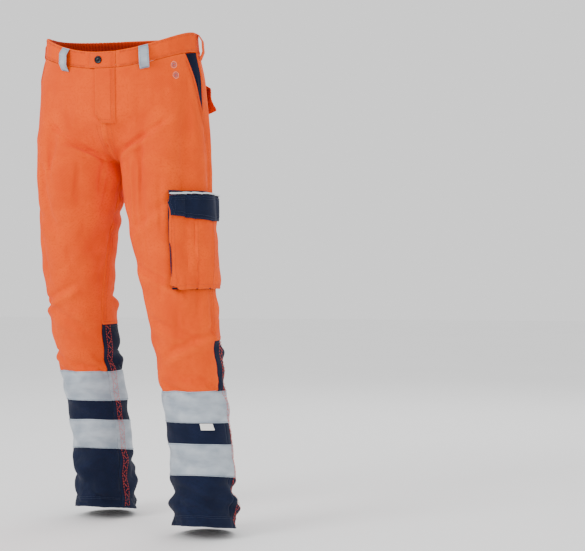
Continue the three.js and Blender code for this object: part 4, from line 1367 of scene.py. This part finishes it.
# pitch is one stitch and the gap after it, and cover is the stitch's share of it. lift is how far it stands up.
stitchMake = {
    "pitch": 0.0036,
    "cover": 0.72,
    "radius": 0.00042,
    "lift": 0.0004,
    "contrastT": {"left": -0.10, "right": -0.93},
    "contrastWide": 0.0048,
    "contrastStep": 0.0105,
    "contrastRows": 0.0062,
}
lift = stitchMake["lift"]
line = np.linspace
sewn = {}


# Stitches along a line of points, with outs the cloth's outward direction at each.
def sewPoints(thread, body, points, outs, **how):
    pitch, cover, radius = ({**stitchMake, **how}[key] for key in ("pitch", "cover", "radius"))
    step = np.linalg.norm(np.diff(points, axis=0), axis=1)
    s = np.concatenate([[0], np.cumsum(step)])
    if s[-1] < pitch:
        return
    starts = np.arange(0, s[-1] - pitch * cover, pitch)
    at = lambda d, grid: np.stack([np.interp(d, s, grid[:, k]) for k in range(3)], -1)
    a, b = at(starts, points), at(starts + pitch * cover, points)
    sewn.setdefault((thread, body), []).append((a, b, at(starts, outs), radius))


# Stitches along a line on the cloth.
def sew(thread, side, t, drop, out=lift, body="garment", **how):
    t, drop, out = np.broadcast_arrays(*(np.asarray(v, float) for v in (t, drop, out)))
    points = onCloth(side, t, drop, out)
    sewPoints(thread, body, points, onCloth(side, t, drop, out + 0.001) - points, **how)


# Stitches on the fly door, by x.
def sewDoor(x, drop):
    x, drop = np.broadcast_arrays(*(np.asarray(v, float) for v in (x, drop)))
    points = onFront(x, drop, doorOut + lift)
    sewPoints("orange", "fly_door", points, onFront(x, drop, doorOut + lift + 0.001) - points)


# A zigzag row down the leg, which shifts sideways as the hem's folds take it.
def zigzag(thread, side, t, low, high, wide, step):
    count = int((high - low) / step)
    drops = line(low, high, count)
    swing = np.where(np.arange(count) % 2, 1, -1) * wide / (math.pi * waistHalf * 0.42)
    points = onCloth(side, t + swing, drops, 0.0018)
    outs = onCloth(side, t + swing, drops, 0.0028) - points
    a, b = points[:-1], mix(points[:-1], points[1:], 0.86)
    sewn.setdefault((thread, "garment"), []).append((a, b, outs[:-1], 0.0004))


# Each stitch is a five-sided spindle whose ends dive into the cloth.
def makeStitches():
    n, turn = 5, np.linspace(0, 2 * np.pi, 6)[:-1]
    spindle = ((0.0, 0.35, -0.0003), (0.25, 1.0, 0.0), (0.75, 1.0, 0.0), (1.0, 0.35, -0.0003))
    around = lambda r, q: r * n + q % n
    square = lambda r, q: [around(r, q), around(r, q + 1), around(r + 1, q + 1), around(r + 1, q)]
    local = [square(r, q) for r in range(3) for q in range(n)]
    for (thread, body), runs in sewn.items():
        vertices, faces, start = [], [], 0
        for a, b, outs, radius in runs:
            way = b - a
            way = way / np.maximum(np.linalg.norm(way, axis=1, keepdims=True), 1e-9)
            outs = outs / np.maximum(np.linalg.norm(outs, axis=1, keepdims=True), 1e-9)
            aside = np.cross(way, outs)
            spread = np.cos(turn)[None, :, None] * aside[:, None] + np.sin(turn)[None, :, None] * outs[:, None]
            rings = []
            for k, fat, dive in spindle:
                middle = a + (b - a) * k + outs * dive
                rings.append(middle[:, None] + radius * fat * spread)
            vertices.append(np.stack(rings, 1).reshape(-1, 3))
            base = np.arange(len(a))[:, None] * 20 + start
            quads = (base[:, None, :] + np.array(local)[None]).reshape(-1, 4)
            caps = np.concatenate([base + np.array([4, 3, 2, 1, 0]), base + np.array([15, 16, 17, 18, 19])])
            faces += quads.tolist() + caps.tolist()
            start += len(a) * 20
        finishPiece(f"stitches_{thread}_{body}", None, threads[thread], np.concatenate(vertices), faces, body)


def sewPanels(side, calf):
    # Side seam: a row each side of the join, down to the calf panel.
    left = side == "left"
    sew("orange", side, -0.010, line(band + 0.004, cargoTop - 0.012 if left else calf, 300), 0.0006)
    if left:
        sew("orange", side, -0.010, line(cargoDrop + 0.004, calf, 80), 0.0006)
    sew("orange", side, -0.034, line(cargoDrop + 0.004 if left else slantDrop + 0.03, calf, 200))
    # Front crotch seam and back seam, doubled.
    for t in (0.975, 0.945):
        sew("orange", side, t, line(flyEnd + 0.008, rise - 0.003, 60))
    for t in (-0.975, -0.945):
        sew("orange", side, t, line(band + 0.004, rise - 0.003, 120))
        sew("orange", side, t, line(rise + 0.006, calf, 200))
    # The calf panel's upper edge.
    sew("orange", side, line(-0.97, -0.02, 160), calf - 0.004, 0.0010)
    sew("navy", side, line(-0.97, -0.02, 160), calf + 0.007, 0.0006)
    # The slant pocket's two rows, and two beside the fly.
    for gap, out in ((0.003, 0.0012), (0.009, 0.0006)):
        ts = line(0.012, slantT, 50)
        sew("orange", side, ts + 0.012, slantAt(ts) + gap + 0.004, out)
    for t in (0.975, 0.955):
        sew("orange", side, t, line(band + 0.003, flyEnd - 0.02, 60))


def sewBand(side):
    ts = line(-0.995, -0.012, 400)
    for d in (0.0035, 0.0055, band - 0.0035, band - 0.0058):
        sew("orange", side, line(0.012, bandT(0.036), 160), d, 0.0006 + bandOut(side, np.full(160, 0.5), d))
        sew("orange", side, ts, d, lift + bandOut(side, ts, d))
    # Rows through the back band that hold the elastic.
    ts = line(-0.9, -0.2, 400)
    for d in (0.015, 0.027):
        sew("orange", side, ts, d, lift + bandOut(side, ts, d))


# Bar tacks across a belt loop's ends, and a row along each edge.
def sewLoops(side):
    for t0, colour in ((loopMake["frontT"], "grey"), (loopMake["sideT"], "orange")):
        for d in (0.0035, 0.0050, 0.0525, 0.0545):
            sew(colour, side, line(t0 - 0.03, t0 + 0.03, 12), d, 0.0040, pitch=0.0016, cover=0.9)
        k = line(0.08, 0.92, 40)
        for u in (-0.029, 0.029):
            sew(colour, side, t0 + u, mix(0.001, loopMake["length"], k), 0.0022 + loopBow(k))


def sewBackPocket(side):
    lid = f"back_lid_{side}"
    for inset in (0.012, 0.034):
        ts = line(backFrom + inset, backTo - inset, 90)
        ends = (backFrom + inset, backTo - inset)
        low = backPocketLow(ts) - inset * 0.25
        sew("orange", side, ts, low, backPocketOut(ts, low) + lift)
        for t in ends:
            ds = line(backFlapTop + 0.012, backMake["pocketDrop"] - inset * 0.25, 60)
            sew("orange", side, t, ds, backPocketOut(np.full(60, t), ds) + lift)
        low = backFlapLow(ts) - inset * 0.25
        sew("orange", side, ts, low, backFlapOut(side, ts, low) + lift, lid)
        sew("orange", side, ts, backFlapTop + 0.002 + inset * 0.2, backFlapOut(side, ts, 0.11) + lift, lid)
        for t in ends:
            ds = line(backFlapTop + 0.003, backFlapTop + 0.044, 20)
            sew("orange", side, t, ds, backFlapOut(side, np.full(20, t), ds) + lift, lid)


# A pale row inside each edge of a tape, two rows at the hem, and three contrast rows down the leg.
def sewLowerLeg(side, calf):
    for top in tapeTops(side).values():
        for d in (top + 0.0025, top + tapeWidth - 0.0025):
            sew("grey", side, line(-0.995, 0.995, 300), d, 0.0014, radius=0.00035)
    for d in (outseam - 0.020, outseam - 0.0235):
        sew("navy", side, line(-0.99, 0.99, 300), d, 0.0016)
    t0, unit = stitchMake["contrastT"][side], 1 / (math.pi * waistHalf * 0.42)
    low, high = calf + 0.004, outseam - 0.004
    zigzag("red", side, t0, low, high, stitchMake["contrastWide"], stitchMake["contrastStep"])
    for shift in (-stitchMake["contrastRows"], stitchMake["contrastRows"]):
        sew("red", side, t0 + shift * unit, line(low, high, 300), 0.0018, pitch=0.0062, radius=0.00045)


def sewCargo():
    for inset in (0.012, 0.034):
        ts = line(cargoFrom + inset, cargoTo - inset, 120)
        low = cargoDrop - inset * 0.26
        sew("orange", "left", ts, low, cargoFaceOut(ts, low) + lift)
        for t in (cargoFrom + inset, cargoTo - inset):
            ds = line(cargoTop + 0.014, low, 90)
            sew("orange", "left", t, ds, cargoFaceOut(np.full(90, t), ds) + lift)
            ds = line(cargoTop + 0.004, cargoTop + 0.040, 20)
            sew("navy", "left", t, ds, cargoFlapOut(np.full(20, t), ds) + lift, "cargo_lid")
        edge = cargoFlapLow(ts) - inset * 0.26
        sew("navy", "left", ts, edge, cargoFlapOut(ts, edge) + lift, "cargo_lid")
        top = cargoTop + 0.002 + inset * 0.2
        sew("navy", "left", ts, top, cargoFlapOut(ts, cargoTop + 0.004) + lift, "cargo_lid")
    for p in pleats:
        ds = line(cargoTop + 0.014, cargoDrop - 0.004, 90)
        sew("orange", "left", p, ds, cargoFaceOut(np.full(90, p), ds) + lift)


# The placket's double row down to its foot, and the tab's edges.
def sewFly():
    for inset in (0.003, 0.009):
        sewDoor(flyMake["doorTo"] - inset, line(band + 0.003, flyEnd - 0.002, 80))
        xs = line(flyMake["doorFrom"] + 0.002, flyMake["doorTo"] - inset, 60)
        sewDoor(xs, placketFoot(xs) - inset)
    for d in (0.0045, band - 0.0040):
        sewDoor(line(-0.025, 0.026, 50), d)
    sewDoor(-0.0245, line(0.0045, band - 0.004, 40))


# Two small embroidered rings above the left front pocket.
def sewRings():
    t0 = 0.40
    for drop in (0.062, 0.085):
        for ring, count, thread in ((0.0070, 30, "pink"), (0.0034, 18, "grey")):
            turn = np.linspace(0, 2 * np.pi, count + 1)[:-1]
            at = lambda r, out: onCloth("left", t0 + r * np.cos(turn) / 0.25, drop + r * np.sin(turn), out)
            a, b = at(ring - 0.0010, 0.0005), at(ring + 0.0010, 0.0005)
            sewn.setdefault((thread, "garment"), []).append((a, b, at(ring, 0.002) - a, 0.00045))


for side in sides:
    calf = tapeTops(side)["upper"] - calfAboveTape
    sewPanels(side, calf)
    sewBand(side)
    sewLoops(side)
    sewBackPocket(side)
    sewLowerLeg(side, calf)
sewCargo()
sewFly()
sewRings()
makeStitches()
print("stitching sewn")


# Soft boxes round the garment: place, size in metres and power in watts.
studio = {
    "middle": (0.02, 0.05, -0.5),
    "lamps": {
        "keyLight": ((-1.8, -2.6, 1.2), 1.4, 75),
        "fillLight": ((2.6, -1.6, 0.4), 2.0, 18),
        "backLight": ((0.8, 2.8, 1.4), 2.0, 30),
    },
    "sky": 1.15,
    "floorSize": 14.0,
    "floorBelow": 0.004,
    "floorColours": ("#f6f6f6", "#fbfbfb"),
}
view = {"angle": 21, "yaw": 7.2, "distance": 2.9, "height": -0.51, "lens": 83}


def lamps():
    for name, (place, size, power) in studio["lamps"].items():
        data = bpy.data.lights.new(name, "AREA")
        data.size = size
        data.energy = power
        lamp = bpy.data.objects.new(name, data)
        lamp.location = place
        lamp.rotation_euler = (Vector(studio["middle"]) - Vector(place)).to_track_quat("-Z", "Y").to_euler()
        bpy.context.scene.collection.objects.link(lamp)


def sky():
    world = bpy.data.worlds.new("studio")
    bpy.context.scene.world = world
    world.use_nodes = True
    inputs = world.node_tree.nodes["Background"].inputs
    inputs["Color"].default_value = (1, 1, 1, 1)
    inputs["Strength"].default_value = studio["sky"]


# A wide matt floor with a very slight crown, just under the hems.
def room():
    low = min(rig.box(f"calf_panel_{side}")[0][2] for side in sides) - studio["floorBelow"]
    n, size = 24, studio["floorSize"]
    bend = np.linspace(-1, 1, n)
    grid = [(x * size, y * size, low - 0.0002 * (x * x + y * y)) for x in bend for y in bend]
    corner = [i * n + j for i in range(n - 1) for j in range(n - 1)]
    mesh = bpy.data.meshes.new("studioFloor")
    mesh.from_pydata(grid, [], [(c, c + n, c + n + 1, c + 1) for c in corner])
    floor = bpy.data.objects.new("studioFloor", mesh)
    bpy.context.scene.collection.objects.link(floor)
    material, tree, shader = newMaterial("mattPaintedFloor", {"Roughness": 0.85})
    place = put(tree, "ShaderNodeTexCoord").outputs["Object"]
    cloudy = put(tree, "ShaderNodeTexNoise", {"Vector": place, "Scale": 1.5, "Detail": 2.0}).outputs["Fac"]
    shade, colour = (linear(tone) for tone in studio["floorColours"])
    base = put(tree, "ShaderNodeMix", {0: cloudy, 6: shade, 7: colour}, data_type="RGBA").outputs[2]
    tree.links.new(base, shader.inputs["Base Color"])
    floor.data.materials.append(material)
    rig.stage(floor)


def camera():
    angle, yaw, far = math.radians(view["angle"]), math.radians(view["yaw"]), view["distance"]
    data = bpy.data.cameras.new("camera")
    data.lens = view["lens"]
    made = bpy.data.objects.new("camera", data)
    made.location = (math.sin(angle) * far, -math.cos(angle) * far, view["height"])
    made.rotation_euler = (math.pi / 2, 0, angle - yaw)
    bpy.context.scene.collection.objects.link(made)
    bpy.context.scene.camera = made


sky()
room()
lamps()
camera()
print("studio lit")

sizes = {"cad": cadBounds, "visual": [list(corner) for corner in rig.bounds()]}
with open("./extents.json", "w") as file:
    json.dump(sizes, file)
